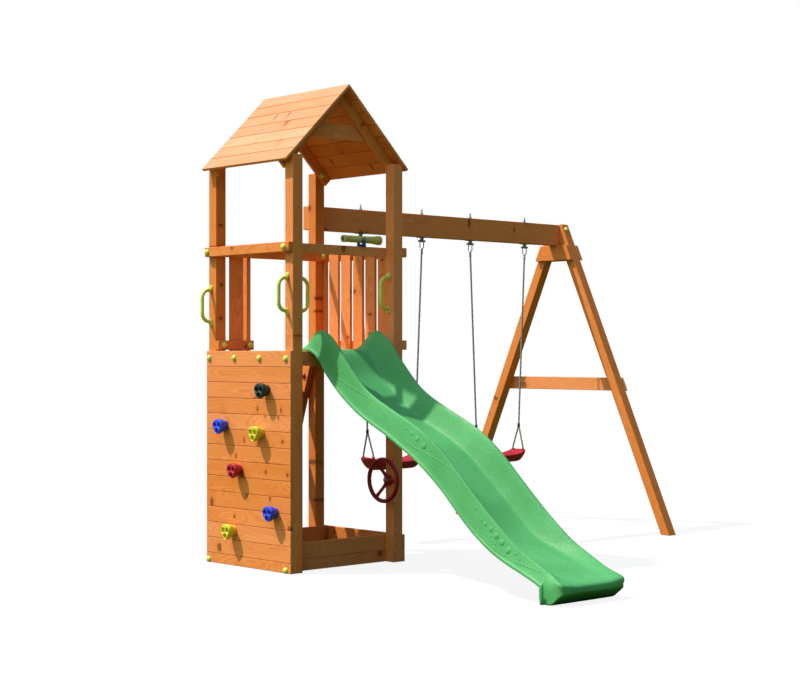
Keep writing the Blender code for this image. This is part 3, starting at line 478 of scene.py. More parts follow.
def extent(spots, axis):
    places = [spot.dot(axis) for spot in spots]
    return max(places) - min(places)


def timber(node):
    """A node's solid as boards with eased edges, each with its own grain and marks."""
    bm = welded(node, flat=0.5)
    across, places = joints_in(node)
    for place in places:
        bmesh.ops.bisect_plane(bm, geom=bm.verts[:] + bm.edges[:] + bm.faces[:], dist=1e-5,
                               plane_co=across * place, plane_no=across)
    rounded = ease_edges(bm, 50, 0.0022, slide=True)
    for face in bm.faces:
        face.smooth = False
    for face in rounded:
        face.smooth = True
    grain = bm.loops.layers.float_vector.new("grain")
    for name in MARKS:
        bm.faces.layers.float.new(name)
    tone, roof_sheen, seam = (bm.faces.layers.float[name] for name in MARKS)
    boards = {}
    for face in bm.faces:
        number, along = board_at(node, face.calc_center_median())
        boards.setdefault(number, (along, []))[1].append(face)
    for number, (along, faces) in sorted(boards.items()):
        rng = random.Random(f"{node} {number}")
        spots = [v.co for f in faces for v in f.verts]
        square = [axis for axis in (X, Y, Z) if abs(axis.dot(along)) < 0.01]
        thick = min(square, key=lambda axis: extent(spots, axis))
        wide = thick.cross(along)
        centre = sum(spots, Vector()) / len(spots)
        shift = Vector((rng.uniform(0, 20), rng.uniform(-0.03, 0.03),
                        rng.choice((-1, 1)) * rng.uniform(0.03, 0.10)))
        level = rng.uniform(-1, 1)
        for face in faces:
            slant = abs(face.normal.dot(across))
            in_joint = places and 0.5 < slant < 0.9 and face.calc_area() < 0.006
            face[tone] = level
            # The roof's upper faces are marked for the painted sheen of sky light.
            face[roof_sheen] = float(node in ROOF_PANELS and face.normal.z > 0.3)
            face[seam] = float(bool(in_joint))
            for loop in face.loops:
                p = loop.vert.co - centre
                loop[grain] = Vector((p.dot(along), p.dot(wide), p.dot(thick))) + shift
    return finish_piece("timber_" + node, bm, pine, NODES[node]["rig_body"], "timber", 0, [node])


TIMBER = sorted(node for node, name in SLOTS.items() if name == "timber")
for node in TIMBER:
    made = timber(node)
print("timber:", len(TIMBER), "pieces, the last with", len(made.data.polygons), "faces")

# %% [markdown]
# ## Moulded plastic
#
# Blown and injected plastic shares one look: an even colour, a fine pebble that breaks up the
# gleam, and a little drift in tone. One function makes them all, with the colours, the roughness,
# the pebble and the gleam as values, so the slide, caps, grips and seats differ only where the real
# ones do.

# %% Plastic and metal materials


def plastic(name, main, deep, rough, pebble, depth, strength, gleam=0.5):
    """A plastic between two colours; pebble is how fine its skin is, depth how deep."""
    mat, tree, shader = new_material(name)
    place = add(tree, "TexCoord").outputs["Object"]
    drift = noise(tree, place, 5.0, 3.0).outputs["Fac"]
    grit = noise(tree, place, pebble, 2.0).outputs["Fac"]
    tint = mix(tree, band(tree, drift, 0.3, 0.7), colour(main), colour(deep))
    feed(tree, shader, {"Base Color": tint, "Specular IOR Level": gleam,
                        "Roughness": band(tree, grit, 0.3, 0.7, rough - 0.05, rough + 0.08),
                        "Normal": bumps(tree, grit, strength, depth)})
    return mat


# satin blown polyethylene, lightly pebbled
slide_green = plastic("slide plastic", "55a869", "4b9c5d", 0.44, 115.0, 0.0015, 1.0, 0.18)
# moulded handles and the caps over the screws
lime = plastic("lime plastic", "d6e36c", "c6d45a", 0.32, 500.0, 0.0002, 0.3)
# climbing grips, cast with a sandy skin
GRIP_COLOURS = {"black": ("16333b", "122a31"), "blue": ("2c4ee8", "2643cc"),
                "yellow": ("dcd435", "cfc62c"), "red": ("bc1c3b", "aa1835")}
grip_plastic = {hue: plastic(hue + " grip plastic", main, deep, 0.42, 600.0, 0.0005, 0.6)
                for hue, (main, deep) in GRIP_COLOURS.items()}
# seats, the steering wheel and one cap at the ladder
seat_red = plastic("red plastic", "a80f2c", "960c26", 0.36, 420.0, 0.0003, 0.4, 0.35)
# telescope tube and its bracket
scope_green = plastic("green plastic", "c6bf66", "bab45a", 0.35, 400.0, 0.0002, 0.3)
scope_blue = plastic("blue plastic", "2a56b8", "244aa3", 0.35, 400.0, 0.0002, 0.3)
# clamps on the ropes
black_plastic = plastic("black plastic", "1c1f20", "17191a", 0.40, 500.0, 0.0002, 0.3)


def zinc():
    mat, tree, shader = new_material("zinc plated steel")
    place = add(tree, "TexCoord").outputs["Object"]
    stain = noise(tree, place, 60.0, 4.0).outputs["Fac"]
    tint = mix(tree, band(tree, stain, 0.35, 0.7), colour("aab4bb"), colour("7d878d"))
    feed(tree, shader, {"Base Color": tint, "Metallic": 0.6,
                        "Roughness": band(tree, stain, 0.3, 0.7, 0.30, 0.50)})
    return mat


def twisted_rope():
    mat, tree, shader = new_material("twisted rope")
    place = add(tree, "TexCoord").outputs["Object"]
    hair = noise(tree, scaled(tree, place, (900, 900, 300)), 1.0, 2.0).outputs["Fac"]
    tint = mix(tree, band(tree, hair, 0.3, 0.7), colour("9a9d92"), colour("77796d"))
    feed(tree, shader, {"Base Color": tint, "Roughness": 0.9,
                        "Normal": bumps(tree, hair, 0.5, 0.0005)})
    return mat


steel = zinc()
rope_fibre = twisted_rope()
print("materials:", len(bpy.data.materials))

# %% [markdown]
# ## The slide
#
# The solid already has the slide's waves. A welded copy gets its quads back, keeps its folds
# through edge creases, and a Subdivision Surface rounds the rest. The embossing is what a mould
# cutter adds: two raised lines that sweep along the side wall, and beads that grow from dots to
# bubbles. Each is laid on the wall by a ray towards it, so it stays on the surface whatever the
# slide's shape.

# %% Slide shell
SMOOTHING = 2                          # levels of the Subdivision Surface
EAR_IN, EAR_OUT = 0.188, 0.215         # an ear's sides, from the slide's middle
EAR_TOP = 1.27                         # only the ears' tops are above this height
NOTCHES = (-0.029, -0.054, -0.079)     # the hand notches on top of each ear, in Y
NOTCH_DEPTH = 0.010
NOTCH_REACH = 0.0060


def subdivided(bm, crease_over, crease):
    """Quads again, folds marked, then smoothed by a Subdivision Surface that is applied."""
    bmesh.ops.join_triangles(bm, faces=bm.faces, angle_face_threshold=math.radians(35),
                             angle_shape_threshold=math.radians(70))
    layer = bm.edges.layers.float.new("crease_edge")
    for edge in bm.edges:
        if edge.is_manifold and edge.calc_face_angle(0) > math.radians(crease_over):
            edge[layer] = crease
    mesh = bpy.data.meshes.new("rough")
    bm.to_mesh(mesh)
    bm.free()
    holder = bpy.data.objects.new("rough", mesh)
    scene.collection.objects.link(holder)
    smoother = holder.modifiers.new("smooth", "SUBSURF")
    smoother.levels = smoother.render_levels = SMOOTHING
    shown = holder.evaluated_get(bpy.context.evaluated_depsgraph_get())
    made = bpy.data.meshes.new_from_object(shown)
    bpy.data.objects.remove(holder, do_unlink=True)
    out = bmesh.new()
    out.from_mesh(made)
    return out


def on_ear_top(vert):
    beside = EAR_IN < abs(vert.co.x - MIDDLE) < EAR_OUT
    return beside and vert.normal.z > 0.3 and vert.co.z > EAR_TOP


slide_shape = subdivided(welded("slide"), 38, 0.7)
slide_shape.normal_update()
for vert in slide_shape.verts:
    if on_ear_top(vert):
        vert.co.z -= sum(NOTCH_DEPTH * math.exp(-((vert.co.y - y) / NOTCH_REACH) ** 2)
                         for y in NOTCHES)
slide_wall = BVHTree.FromBMesh(slide_shape)
slide = finish_piece("slide_shell", slide_shape, slide_green, TOWER, "slide_plastic", 60, ["slide"])
print("slide:", len(slide.data.polygons), "faces")

# %% Lines, rings and what follows a path


def eased(points, steps):
    """A smooth line through points: each span is filled with steps of a Catmull-Rom curve."""
    ends = [2 * points[0] - points[1]] + points + [2 * points[-1] - points[-2]]
    line = []
    for a, b, c, d in zip(ends, ends[1:], ends[2:], ends[3:]):
        for step in range(steps):
            t = step / steps
            line.append(0.5 * (2 * b + (c - a) * t + (2 * a - 5 * b + 4 * c - d) * t * t
                               + (3 * b - a - 3 * c + d) * t ** 3))
    return line + [points[-1]]


def path_frames(points, sizes=None, turn=0.0, up=X):
    """A matrix for each point of a path: its Z follows the path, and each adds turn radians."""
    frames = []
    side = up
    for index, point in enumerate(points):
        along = (points[min(index + 1, len(points) - 1)] - points[max(index - 1, 0)]).normalized()
        side = (side - along * side.dot(along)).normalized()
        basis = Matrix((side, along.cross(side), along)).transposed().to_4x4()
        size = sizes[index] if sizes else 1.0
        wide, deep = size if isinstance(size, tuple) else (size, size)
        frames.append(Matrix.Translation(point) @ basis @ Matrix.Rotation(turn * index, 4, "Z")
                      @ Matrix.Diagonal((wide, deep, 1, 1)))
    return frames


def edges_of(verts):
    return list({edge for vert in verts for edge in vert.link_edges})


def round_ring(radius, sides):
    def ring(bm):
        made = bmesh.ops.create_circle(bm, cap_ends=False, radius=radius, segments=sides)
        return edges_of(made["verts"])
    return ring


def swept(bm, frames, ring, closed=True):
    """Extrude a ring, given flat round the origin, along a list of matrices."""
    old = set(bm.verts)
    first = edges = ring(bm)
    bmesh.ops.transform(bm, matrix=frames[0], verts=[v for v in bm.verts if v not in old])
    for here, there in zip(frames, frames[1:]):
        made = bmesh.ops.extrude_edge_only(bm, edges=edges)["geom"]
        edges = [item for item in made if isinstance(item, bmesh.types.BMEdge)
                 and all(v in made for v in item.verts)]
        verts = [item for item in made if isinstance(item, bmesh.types.BMVert)]
        bmesh.ops.transform(bm, matrix=there @ here.inverted(), verts=verts)
    if closed:
        bmesh.ops.edgeloop_fill(bm, edges=first)
        bmesh.ops.edgeloop_fill(bm, edges=edges)


def placed(spot, way):
    """The matrix that takes the origin to a spot and +Z to a direction."""
    return Matrix.Translation(spot) @ way.to_track_quat("Z", "Y").to_matrix().to_4x4()


# %% Embossed lines and beads
RIDGE_RADIUS = 0.0030
RIDGE_SUNK = 0.0008
BEAD_HEIGHT = 0.22           # as a share of its radius
# each line's points along the slide and in height
RIDGES = (
    ((-0.194, 1.062), (-0.222, 1.043), (-0.302, 1.007), (-0.377, 0.976), (-0.461, 0.941),
     (-0.526, 0.900), (-0.576, 0.865), (-0.627, 0.820), (-0.676, 0.780), (-0.723, 0.746),
     (-0.776, 0.717), (-0.841, 0.692), (-0.918, 0.665), (-0.987, 0.638), (-1.061, 0.603),
     (-1.099, 0.573), (-1.121, 0.549), (-1.143, 0.524)),
    ((-1.197, 0.370), (-1.240, 0.329), (-1.282, 0.293), (-1.337, 0.258), (-1.391, 0.229),
     (-1.455, 0.206), (-1.507, 0.186), (-1.569, 0.172), (-1.628, 0.159), (-1.681, 0.146)),
)
# each bead's place along the slide, its height, and its radius in millimetres
BEADS = (
    (-0.647, 0.823, 3), (-0.668, 0.823, 4), (-0.692, 0.817, 6), (-0.728, 0.800, 8),
    (-0.770, 0.776, 11), (-0.812, 0.749, 14), (-0.862, 0.715, 16), (-0.765, 0.745, 3),
    (-0.783, 0.730, 4), (-0.854, 0.756, 4), (-0.909, 0.693, 7), (-0.314, 1.027, 3),
    (-0.130, 1.171, 4), (-0.156, 1.140, 4), (-0.223, 1.089, 7), (-0.126, 1.204, 3),
    (-1.228, 0.425, 7), (-1.231, 0.381, 3), (-1.250, 0.377, 4), (-1.272, 0.371, 7),
    (-1.299, 0.351, 10), (-1.271, 0.333, 5), (-1.336, 0.330, 13), (-1.373, 0.299, 15),
    (-1.341, 0.295, 5), (-1.373, 0.263, 6), (-1.411, 0.271, 16), (-1.454, 0.236, 17),
    (-1.499, 0.224, 8), (-1.529, 0.200, 7),
)


def on_wall(y, z):
    """The point of the slide's left wall at a height and the way that it faces, or None twice."""
    return slide_wall.ray_cast(Vector((MIDDLE - 0.6, y, z)), X)[:2]


bm = bmesh.new()
for ridge in RIDGES:
    points = eased([Vector((0, y, z)) for y, z in ridge], 6)
    hits = [on_wall(point.y, point.z) for point in points]
    spots = [spot - normal * RIDGE_SUNK for spot, normal in hits if spot]
    tail = [min(1.0, 0.15 + 0.2 * min(i, len(spots) - 1 - i)) for i in range(len(spots))]
    swept(bm, path_frames(spots, tail), round_ring(RIDGE_RADIUS, 10))
for y, z, radius in BEADS:
    spot, normal = on_wall(y, z)
    if spot:
        place = placed(spot, normal) @ Matrix.Diagonal((1, 1, BEAD_HEIGHT, 1))
        bmesh.ops.create_uvsphere(bm, u_segments=24, v_segments=12, radius=radius / 1000,
                                  matrix=place)
print("embossing:", len(bm.faces), "faces")
finish_new("slide_embossing", bm, slide_green, TOWER, "slide_plastic", 60)

# %% [markdown]
# ## Caps over the screws
#
# Each bolt or screw that a child could catch on has a domed plastic cap. A cap is a ball cut in
# half and flattened, on a thin collar, turned to face off its board.

# %% Screw caps
CAP_RADIUS = 0.0172
CAP_HEIGHT = 0.0125
CAP_COLLAR = 0.001
WALL = -0.0503       # the climbing wall's face, in X
RAIL = -0.0643       # the face of the rail above it, in X
BACK = 0.6347        # the inner face of what is screwed to the back posts, in Y
WALL_CAPS = ((0.698, 1.159), (0.466, 1.160), (0.238, 1.159), (0.008, 1.157), (0.702, 0.017),
             (0.008, 0.016))
BACK_CAPS = ((0.743, 1.764), (0.008, 1.234), (0.193, 1.232), (0.730, 2.250))
CAPS = [((WALL, y, z), -X) for y, z in WALL_CAPS]
CAPS += [((RAIL, y, 1.760), -X) for y in (0.701, 0.010)]
CAPS += [((x, BACK, z), -Y) for x, z in BACK_CAPS]
CAPS.append(((2.982, 0.6905, 2.041), Vector((0, -math.cos(LEG_LEAN), math.sin(LEG_LEAN)))))
LADDER_CAP = Vector((0.6567, 0.7145, 1.050))


def cap(bm, spot, way):
    """A domed cap with a thin collar, at a spot and facing a direction."""
    ball = bmesh.ops.create_uvsphere(bm, u_segments=24, v_segments=12, radius=CAP_RADIUS)["verts"]
    bmesh.ops.transform(bm, matrix=Matrix.Diagonal((1, 1, CAP_HEIGHT / CAP_RADIUS, 1)), verts=ball)
    below = [v for v in ball if v.co.z < -CAP_COLLAR]
    bmesh.ops.delete(bm, geom=below, context="VERTS")
    dome = [v for v in ball if v.is_valid]
    rim = [e for e in edges_of(dome) if e.is_boundary]
    skirt = bmesh.ops.extrude_edge_only(bm, edges=rim)["geom"]
    low = [item for item in skirt if isinstance(item, bmesh.types.BMVert)]
    bmesh.ops.translate(bm, vec=(0, 0, -CAP_COLLAR), verts=low)
    bmesh.ops.edgeloop_fill(bm, edges=[e for e in edges_of(low) if e.is_boundary])
    bmesh.ops.transform(bm, matrix=placed(spot, way), verts=dome + low)


bm = bmesh.new()
for spot, way in CAPS:
    cap(bm, Vector(spot) + way * CAP_COLLAR, way)
finish_new("screw_caps", bm, lime, TOWER, "lime_plastic", 50)
bm = bmesh.new()
cap(bm, LADDER_CAP, -X)
finish_new("ladder_cap", bm, seat_red, TOWER, "red_plastic", 50)
print("caps:", len(CAPS) + 1)

# %% [markdown]
# ## Grab handles
#
# A handle is one moulded bow: a round bar that swells into two feet, each with a plug over its
# screw. The inner side of the bar has five low bumps for the fingers. The bar is a ring extruded
# along the bow, with its size changed at each step, and each foot is a bevelled disc.

# %% Handles
BAR = 0.0105                 # the bar's radius
SWELL = 0.28                 # how much more it has at the board
SWELL_REACH = 0.03
FINGER_SPACING = 0.013
FOOT_IN = 0.017              # from a handle's end to the middle of its foot
PLUG_IN = 0.0085
# which way each stands out from its board
HANDLES = {"handle_back_left": -1, "handle_front_left": -1, "handle_slide_left": 1,
           "handle_slide_right": -1}


def handle(node, out):
    """A bow that stands out towards +X or -X, with two feet and bumps for the fingers."""
    low, high = box(node)
    base = low.x if out > 0 else high.x
    y = (low.y + high.y) / 2
    z = (low.z + high.z) / 2
    half = (high.z - low.z) / 2
    reach = (high.x - low.x) - BAR
    line = [(0.004, half - 0.030), (0.018, half - 0.0285), (0.036, half - 0.033),
            (0.052, half - 0.046), (reach - 0.001, half - 0.066), (reach, 0.030), (reach, 0.015)]
    upper = [Vector((base + out * x, y, z + up)) for x, up in line]
    lower = [Vector((p.x, y, 2 * z - p.z)) for p in reversed(upper)]
    path = eased(upper + [Vector((base + out * reach, y, z))] + lower, 5)
    sizes = [1.0 + SWELL * max(0.0, 1 - abs(spot.x - base) / SWELL_REACH) for spot in path]
    bm = bmesh.new()
    swept(bm, path_frames(path, sizes, up=Y), round_ring(BAR, 16))
    for k in range(-2, 3):
        bump = bmesh.ops.create_uvsphere(bm, u_segments=16, v_segments=10, radius=0.0065)["verts"]
        spot = (base + out * (reach - 0.0055), y, z + FINGER_SPACING * k)
        bmesh.ops.translate(bm, vec=spot, verts=bump)
    for side in (-1, 1):
        foot = bmesh.ops.create_cone(bm, cap_ends=True, segments=28, radius1=0.0165, radius2=0.0140,
                                     depth=0.009)["verts"]
        place = placed((base + out * 0.0048, y, z + side * (half - FOOT_IN)), X * out)
        bmesh.ops.transform(bm, matrix=place, verts=foot)
        top = [e for e in edges_of(foot) if all(abs(v.co.x - base) > 0.006 for v in e.verts)]
        bmesh.ops.bevel(bm, geom=top, offset=0.0018, segments=2, profile=0.5, affect="EDGES",
                        material=-1)
        plug = bmesh.ops.create_uvsphere(bm, u_segments=14, v_segments=8, radius=0.0052)["verts"]
        place = placed((base + out * 0.0095, y, z + side * (half - PLUG_IN)), X * out)
        bmesh.ops.transform(bm, matrix=place @ Matrix.Diagonal((1, 1, 0.4, 1)), verts=plug)
    finish_new(node + "_moulded", bm, lime, TOWER, "lime_plastic", 55, [node])


for node, out in HANDLES.items():
    handle(node, out)
print("handles:", len(HANDLES))

# %% [markdown]
# ## Climbing grips
#
# Each grip is a fist-sized three-lobed knob on a short neck, with two finger hollows above and one
# below. The solid has the lobes and the holes, so a subdivided copy gives the melted, hand-shaped
# skin. The smoothing narrows the hollows' mouths, which are opened again, and raised lips round
# them catch the light.

# %% Grips
GRIPS = sorted(node for node in NODES if node.startswith("grip"))
HOLLOW_OUT = 0.0215          # from a grip's middle to a hollow's
HOLLOW_DROP = 0.0017
MOUTH_RADIUS = 0.0125
MOUTH_PUSH = 0.0034
MOUTH_REACH = 0.0040
MOUTH_DEPTH = 0.022          # from a grip's front
LIP_OUT = 0.0152             # from a hollow's middle to its lip's
LIP_RADIUS = 0.0024


def open_mouth(bm, hollow, front):
    """Push the skin round a hollow outwards, most at the rim of its mouth."""
    for vert in bm.verts:
        away = Vector((0, vert.co.y - hollow.y, vert.co.z - hollow.z))
        if vert.co.x < front + MOUTH_DEPTH and away.length > 1e-5:
            near = math.exp(-((away.length - MOUTH_RADIUS) / MOUTH_REACH) ** 2)
            vert.co += away.normalized() * MOUTH_PUSH * near


def add_lip(bm, hollow, front):
    """A raised ring round a hollow's mouth."""
    lip = bmesh.ops.create_circle(bm, cap_ends=False, radius=LIP_RADIUS, segments=8)["verts"]
    bmesh.ops.rotate(bm, cent=(0, 0, 0), matrix=Matrix.Rotation(math.pi / 2, 3, "X"), verts=lip)
    bmesh.ops.translate(bm, vec=(0, 0, LIP_OUT), verts=lip)
    before = set(bm.verts)
    bmesh.ops.spin(bm, geom=lip + edges_of(lip), cent=(0, 0, 0), axis=(1, 0, 0), angle=2 * math.pi,
                   steps=24, use_merge=True)
    ring = lip + [v for v in bm.verts if v not in before]
    ring = [v for v in ring if v.is_valid]
    bmesh.ops.translate(bm, vec=hollow + X * (front + 0.0035), verts=ring)
    bmesh.ops.recalc_face_normals(bm, faces=list({f for v in ring for f in v.link_faces}))


for node in GRIPS:
    hue = node.split("_")[1]
    low, high = box(node)
    middle = (low + high) / 2
    bm = subdivided(welded(node), 62, 0.35)
    for index in range(3):
        angle = math.pi / 3 + index * 2 * math.pi / 3
        hollow = Vector((0, middle.y + HOLLOW_OUT * math.sin(angle),
                         middle.z - HOLLOW_DROP + HOLLOW_OUT * math.cos(angle)))
        open_mouth(bm, hollow, low.x)
        add_lip(bm, hollow, low.x)
    finish_piece(node + "_knob", bm, grip_plastic[hue], TOWER, hue + "_plastic", 60, [node])
print("grips:", len(GRIPS))

# %% [markdown]
# ## Steering wheel
#
# The rim is a ring swept round the axle, with shallow waves for the fingers; three flat spokes run
# back to a dished hub.

# %% Wheel
WHEEL_Z = 0.467
RIM = Vector((0.650, 0, WHEEL_Z))
SPOKE_ROOT = Vector((0.684, 0, WHEEL_Z))
HUB_BACK = Vector((0.6985, 0, WHEEL_Z))
RIM_RADIUS = 0.118
RIM_STEPS = 96
FINGER_WAVES = 24
HUB = [(0.0, 0.0), (0.0, 0.029), (0.006, 0.030), (0.022, 0.027), (0.028, 0.022), (0.030, 0.014),
       (0.030, 0.0)]


def turned(bm, profile, spot, axis, steps):
    """Spin a line of (along, out) points round an axis through a spot."""
    verts = [bm.verts.new((r, 0, a)) for a, r in profile]
    edges = [bm.edges.new(pair) for pair in zip(verts, verts[1:])]
    before = set(bm.verts) - set(verts)
    bmesh.ops.spin(bm, geom=verts + edges, cent=(0, 0, 0), axis=(0, 0, 1), angle=2 * math.pi,
                   steps=steps, use_merge=True)
    made = [v for v in bm.verts if v not in before]
    bmesh.ops.remove_doubles(bm, verts=made, dist=1e-6)
    made = [v for v in bm.verts if v not in before]
    bmesh.ops.transform(bm, matrix=placed(spot, axis), verts=made)


bm = bmesh.new()
frames = []
for step in range(RIM_STEPS + 1):
    angle = 2 * math.pi * step / RIM_STEPS
    out = Vector((0, math.cos(angle), math.sin(angle)))
    along = Vector((0, -math.sin(angle), math.cos(angle)))
    size = 1.0 - 0.07 * max(0.0, math.cos(FINGER_WAVES * angle))
    basis = Matrix((X, out, along)).transposed().to_4x4()
    frames.append(Matrix.Translation(RIM + out * RIM_RADIUS) @ basis
                  @ Matrix.Diagonal((1, size, 1, 1)))
swept(bm, frames, round_ring(0.0120, 16), closed=False)
bmesh.ops.remove_doubles(bm, verts=bm.verts, dist=1e-5)
for spoke in range(3):
    angle = math.pi + spoke * 2 * math.pi / 3
    out = Vector((0, math.cos(angle), math.sin(angle)))
    start = SPOKE_ROOT + out * 0.018
    end = RIM + out * (RIM_RADIUS - 0.006)
    path = eased([start, start.lerp(end, 0.35) + X * 0.003, start.lerp(end, 0.7), end], 4)
    last = len(path) - 1
    sizes = [(0.62, 1.35 - 0.35 * math.sin(math.pi * i / last)) for i in range(len(path))]
    swept(bm, path_frames(path, sizes), round_ring(0.0105, 14))
turned(bm, HUB, HUB_BACK, -X, 40)
print("wheel:", len(bm.faces), "faces")
finish_new("steering_wheel_moulded", bm, seat_red, "steering_wheel", "red_plastic", 50,
           ["steering_wheel"])
axle = NODES["steering_wheel_axle"].data
axle.materials.clear()
axle.materials.append(steel)

# %% [markdown]
# ## Telescope
#
# The tube is turned: an eye cup, a slim body with two raised bands, and a flared hood. A thin glass
# closes each end, set back inside. Its bracket keeps the CAD solids with a bevel.

# %% Telescope
SCOPE = Vector((0.526, 0.0453, 1.827))     # the tube's middle
TUBE = [(-0.1385, 0.0140), (-0.1385, 0.0195), (-0.1370, 0.0210), (-0.1260, 0.0210),
        (-0.1230, 0.0190), (-0.0800, 0.0188), (-0.0790, 0.0200), (-0.0710, 0.0200),
        (-0.0700, 0.0190), (-0.0240, 0.0195), (-0.0230, 0.0205), (-0.0150, 0.0205),
        (-0.0140, 0.0195), (0.0760, 0.0205), (0.1140, 0.0250), (0.1310, 0.0265),
        (0.1370, 0.0260), (0.1385, 0.0245), (0.1385, 0.0190), (0.1130, 0.0140)]
STUB = [(0.0, 0.0), (0.0, 0.005), (0.0095, 0.005), (0.0095, 0.0)]
STUB_START = 0.0165
# each glass's place along the tube, its radius, and the way that it bulges
LENSES = ((0.1230, 0.0165, 1), (-0.1330, 0.0142, -1))


def lens_glass():
    mat, tree, shader = new_material("lens glass")
    # The base colour is painted paler where the glass is seen edge-on: a painted reflection.
    edge = add(tree, "LayerWeight", {"Blend": 0.4}).outputs["Facing"]
    feed(tree, shader, {"Base Color": mix(tree, edge, colour("18242a"), colour("49606b")),
                        "Roughness": 0.05, "Coat Weight": 1.0})
    return mat


bm = bmesh.new()
turned(bm, TUBE + TUBE[:1], SCOPE, X, 40)
for side in (-1, 1):
    turned(bm, STUB, SCOPE + Y * side * STUB_START, Y * side, 20)
bmesh.ops.remove_doubles(bm, verts=bm.verts, dist=1e-6)
print("telescope tube:", len(bm.faces), "faces")
finish_new("telescope_moulded", bm, scope_green, "telescope_tube", "green_plastic", 35,
           ["telescope_tube"])
bm = bmesh.new()
for along, radius, way in LENSES:
    glass = [(-0.001, 0.0), (-0.001, radius), (0.0006, radius), (0.0022, 0.6 * radius),
             (0.0030, 0.0)]
    turned(bm, glass, SCOPE + X * along, X * way, 28)
finish_new("telescope_lenses", bm, lens_glass(), "telescope_tube", "green_plastic", 40)
for node in ("telescope_base", "telescope_fork"):
    bm = welded(node, flat=1)
    ease_edges(bm, 60, 0.0007)
    body = NODES[node]["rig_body"]
    finish_piece(node + "_moulded", bm, scope_blue, body, "blue_plastic", 35, [node])

# %% [markdown]
# ## Swings
#
# Each seat hangs on two ropes. A rope has three strands, so its section is a clover leaf; extruding
# that leaf along the rope while it turns gives the lay. The rope parts above the seat into two
# legs, held together by a black clamp, and hangs from a steel link on the hook's pin. These ropes
# are stretched between the hook and the seat by the weight, so they are straight and not free
# cords.

# %% Ropes, links and clamps
SWINGS = ("left", "right")
HANGERS = [(side, end) for side in SWINGS for end in ("near", "far")]
BEAM_Y = 0.7593
PIN_Z = 1.9055
HOOK_HALF = 0.261            # half the distance between a swing's two hooks
ROPE_HALF = 0.197            # half the distance between its ropes at the seat
EYE_DROP = 0.0530            # from the pin down to the rope's end
SPLIT_Z = 0.695
SEAT_Z = 0.5413              # where the legs meet the seat
LEG_HALF = 0.0455            # half the distance between two legs at the seat
STRANDS = 3
ROPE_STEP = 0.0032
LAY = 2 * math.pi / STRANDS / 8 * 0.75     # the turn at each step
CLAMP = [(-0.013, 0.0), (-0.013, 0.0075), (-0.011, 0.0090), (0.011, 0.0090), (0.013, 0.0075),
         (0.013, 0.0)]
SLEEVE = [(-0.014, 0.0), (-0.014, 0.0078), (0.012, 0.0078), (0.014, 0.0060), (0.014, 0.0)]
LINK_ARC = 0.0165            # radius of a link's round ends, to the middle of its bar
LINK_ABOVE = 0.0078          # from the pin up to the middle of the bar at the link's top
LINK_BELOW = 0.0512          # and down to the middle of the bar at its foot
LINK_BAR = 0.0035


def clover_ring(radius):
    def ring(bm):
        verts = bmesh.ops.create_circle(bm, cap_ends=False, radius=1.0, segments=18)["verts"]
        for v in verts:
            angle = math.atan2(v.co.y, v.co.x)
            v.co *= radius * (0.80 + 0.20 * abs(math.cos(STRANDS * angle / 2)))
        return edges_of(verts)
    return ring


def straight(points):
    """Points about a step apart along a line of corners."""
    line = points[:1]
    for a, b in zip(points, points[1:]):
        count = max(1, round((b - a).length / ROPE_STEP))
        line += [a.lerp(b, k / count) for k in range(1, count + 1)]
    return line


def rope(node, body, eye, split, seat):
    """A rope from its eye down to the split, its two legs to the seat, and the clamp."""
    bm = bmesh.new()
    swept(bm, path_frames(straight([eye, split]), turn=LAY), clover_ring(0.0062))
    for side in (-1, 1):
        foot = seat + Y * side * LEG_HALF
        path = straight([split + Z * 0.004, foot + Z * 0.014, foot - Z * 0.004])
        swept(bm, path_frames(path, turn=LAY), clover_ring(0.0060))
    finish_new(node + "_twisted", bm, rope_fibre, body, "rope", 80, [node])
    bm = bmesh.new()
    turned(bm, CLAMP, split + Z * 0.004, Z, 24)
    finish_new(node + "_clamp", bm, black_plastic, body, "black_plastic", 40)


def link(node, body, hook, eye):
    """A long steel ring on the hook's pin, and the sleeve on the rope's eye."""
    ring = []
    top, bottom = hook.z + LINK_ABOVE - LINK_ARC, hook.z - LINK_BELOW + LINK_ARC
    for z, start in ((top, 0.0), (bottom, math.pi)):
        for k in range(13):
            angle = start + math.pi * k / 12
            ring.append(Vector((hook.x, BEAM_Y + LINK_ARC * math.cos(angle),
                                z + LINK_ARC * math.sin(angle))))
    frames = path_frames(ring + ring[:2])[:-1]
    bm = bmesh.new()
    swept(bm, frames[-1:] + frames[1:], round_ring(LINK_BAR, 12), closed=False)
    bmesh.ops.remove_doubles(bm, verts=bm.verts, dist=2e-5)
    turned(bm, SLEEVE, eye - Z * 0.016, Z, 20)
    finish_new(node + "_link", bm, steel, body, "steel", 50)


for side, end in HANGERS:
    seat_low, seat_high = box(f"swing_{side}_seat")
    middle = (seat_low.x + seat_high.x) / 2
    way = -1 if end == "near" else 1
    hook = Vector((middle + way * HOOK_HALF, BEAM_Y, PIN_Z))
    seat = Vector((middle + way * ROPE_HALF, BEAM_Y, SEAT_Z))
    eye = hook - Z * EYE_DROP
    split = eye.lerp(seat, (eye.z - SPLIT_Z) / (eye.z - seat.z))
    rope(f"swing_{side}_rope_{end}", f"swing_{side}", eye, split, seat)
    link(f"swing_{side}_rope_{end}", f"swing_{side}", hook, eye)
print("ropes:", len(HANGERS))

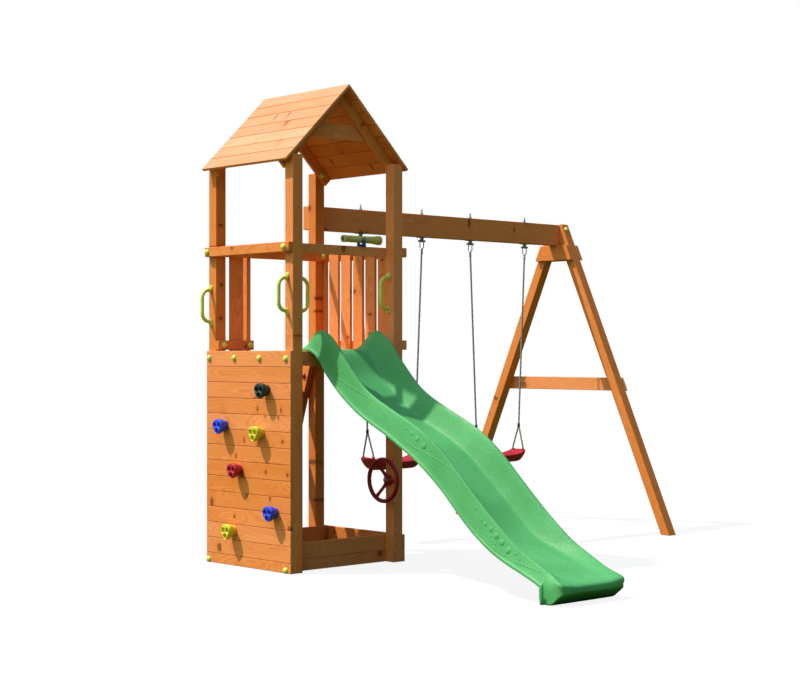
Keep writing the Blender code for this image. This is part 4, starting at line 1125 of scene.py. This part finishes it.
# %% Hooks, and bolts through the beam
BEAM_TOP = 2.0725
PIN_HEAD = 0.0245            # from the hook's middle to a head on its pin
WASHER = [(0.0, 0.0), (0.0, 0.013), (0.0018, 0.013), (0.0018, 0.0)]
THREAD_START = 0.009
THREAD_PITCH = 0.0015
THREAD_TURNS = 17
BOLT_END = [(0.0350, 0.0050), (0.0368, 0.0034), (0.0368, 0.0)]


def hexagon(bm, radius, depth):
    return bmesh.ops.create_cone(bm, cap_ends=True, segments=6, radius1=radius, radius2=radius,
                                 depth=depth)["verts"]


def hook_plate(node, x):
    """The hook's plate with eased edges, and a six-sided head on each end of its pin."""
    bm = welded(node, flat=1)
    ease_edges(bm, 60, 0.0006)
    across = Matrix.Rotation(math.pi / 2, 3, "Y")
    for side in (-1, 1):
        head = hexagon(bm, 0.0078, 0.007)
        bmesh.ops.rotate(bm, cent=(0, 0, 0), matrix=across, verts=head)
        bmesh.ops.translate(bm, vec=(x + side * PIN_HEAD, BEAM_Y, PIN_Z), verts=head)
    finish_piece(node + "_plate", bm, steel, TOWER, "steel", 35, [node])


def bolt(node, x):
    """The washer, nut and threaded end that stand on top of the beam."""
    bm = bmesh.new()
    spot = Vector((x, BEAM_Y, BEAM_TOP))
    turned(bm, WASHER, spot, Z, 28)
    nut = hexagon(bm, 0.0098, 0.009)
    bmesh.ops.translate(bm, vec=spot + Z * 0.0063, verts=nut)
    thread = [(THREAD_START, 0.0)]
    for k in range(THREAD_TURNS):
        along = THREAD_START + THREAD_PITCH * k
        thread += [(along, 0.0058), (along + THREAD_PITCH / 2, 0.0052)]
    turned(bm, thread + BOLT_END, spot, Z, 16)
    finish_new(node + "_bolt", bm, steel, TOWER, "steel", 35)


for side, end in HANGERS:
    node = f"swing_{side}_hook_{end}"
    low, high = box(node)
    hook_plate(node, (low.x + high.x) / 2)
    bolt(node, (low.x + high.x) / 2)
print("hooks:", len(HANGERS))

# %% Seats
for side in SWINGS:
    node = f"swing_{side}_seat"
    bm = subdivided(welded(node), 55, 0.5)
    print(node + ":", len(bm.faces), "faces")
    finish_piece(node + "_moulded", bm, seat_red, f"swing_{side}", "red_plastic", 60, [node])

# %% [markdown]
# ## Sizes
#
# The dressed model has to fill the same box as the solids. The dressed model's box is printed.

# %% Write the sizes and finish
low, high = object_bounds()
print("visual box", [round(v, 3) for v in (*low, *high)])
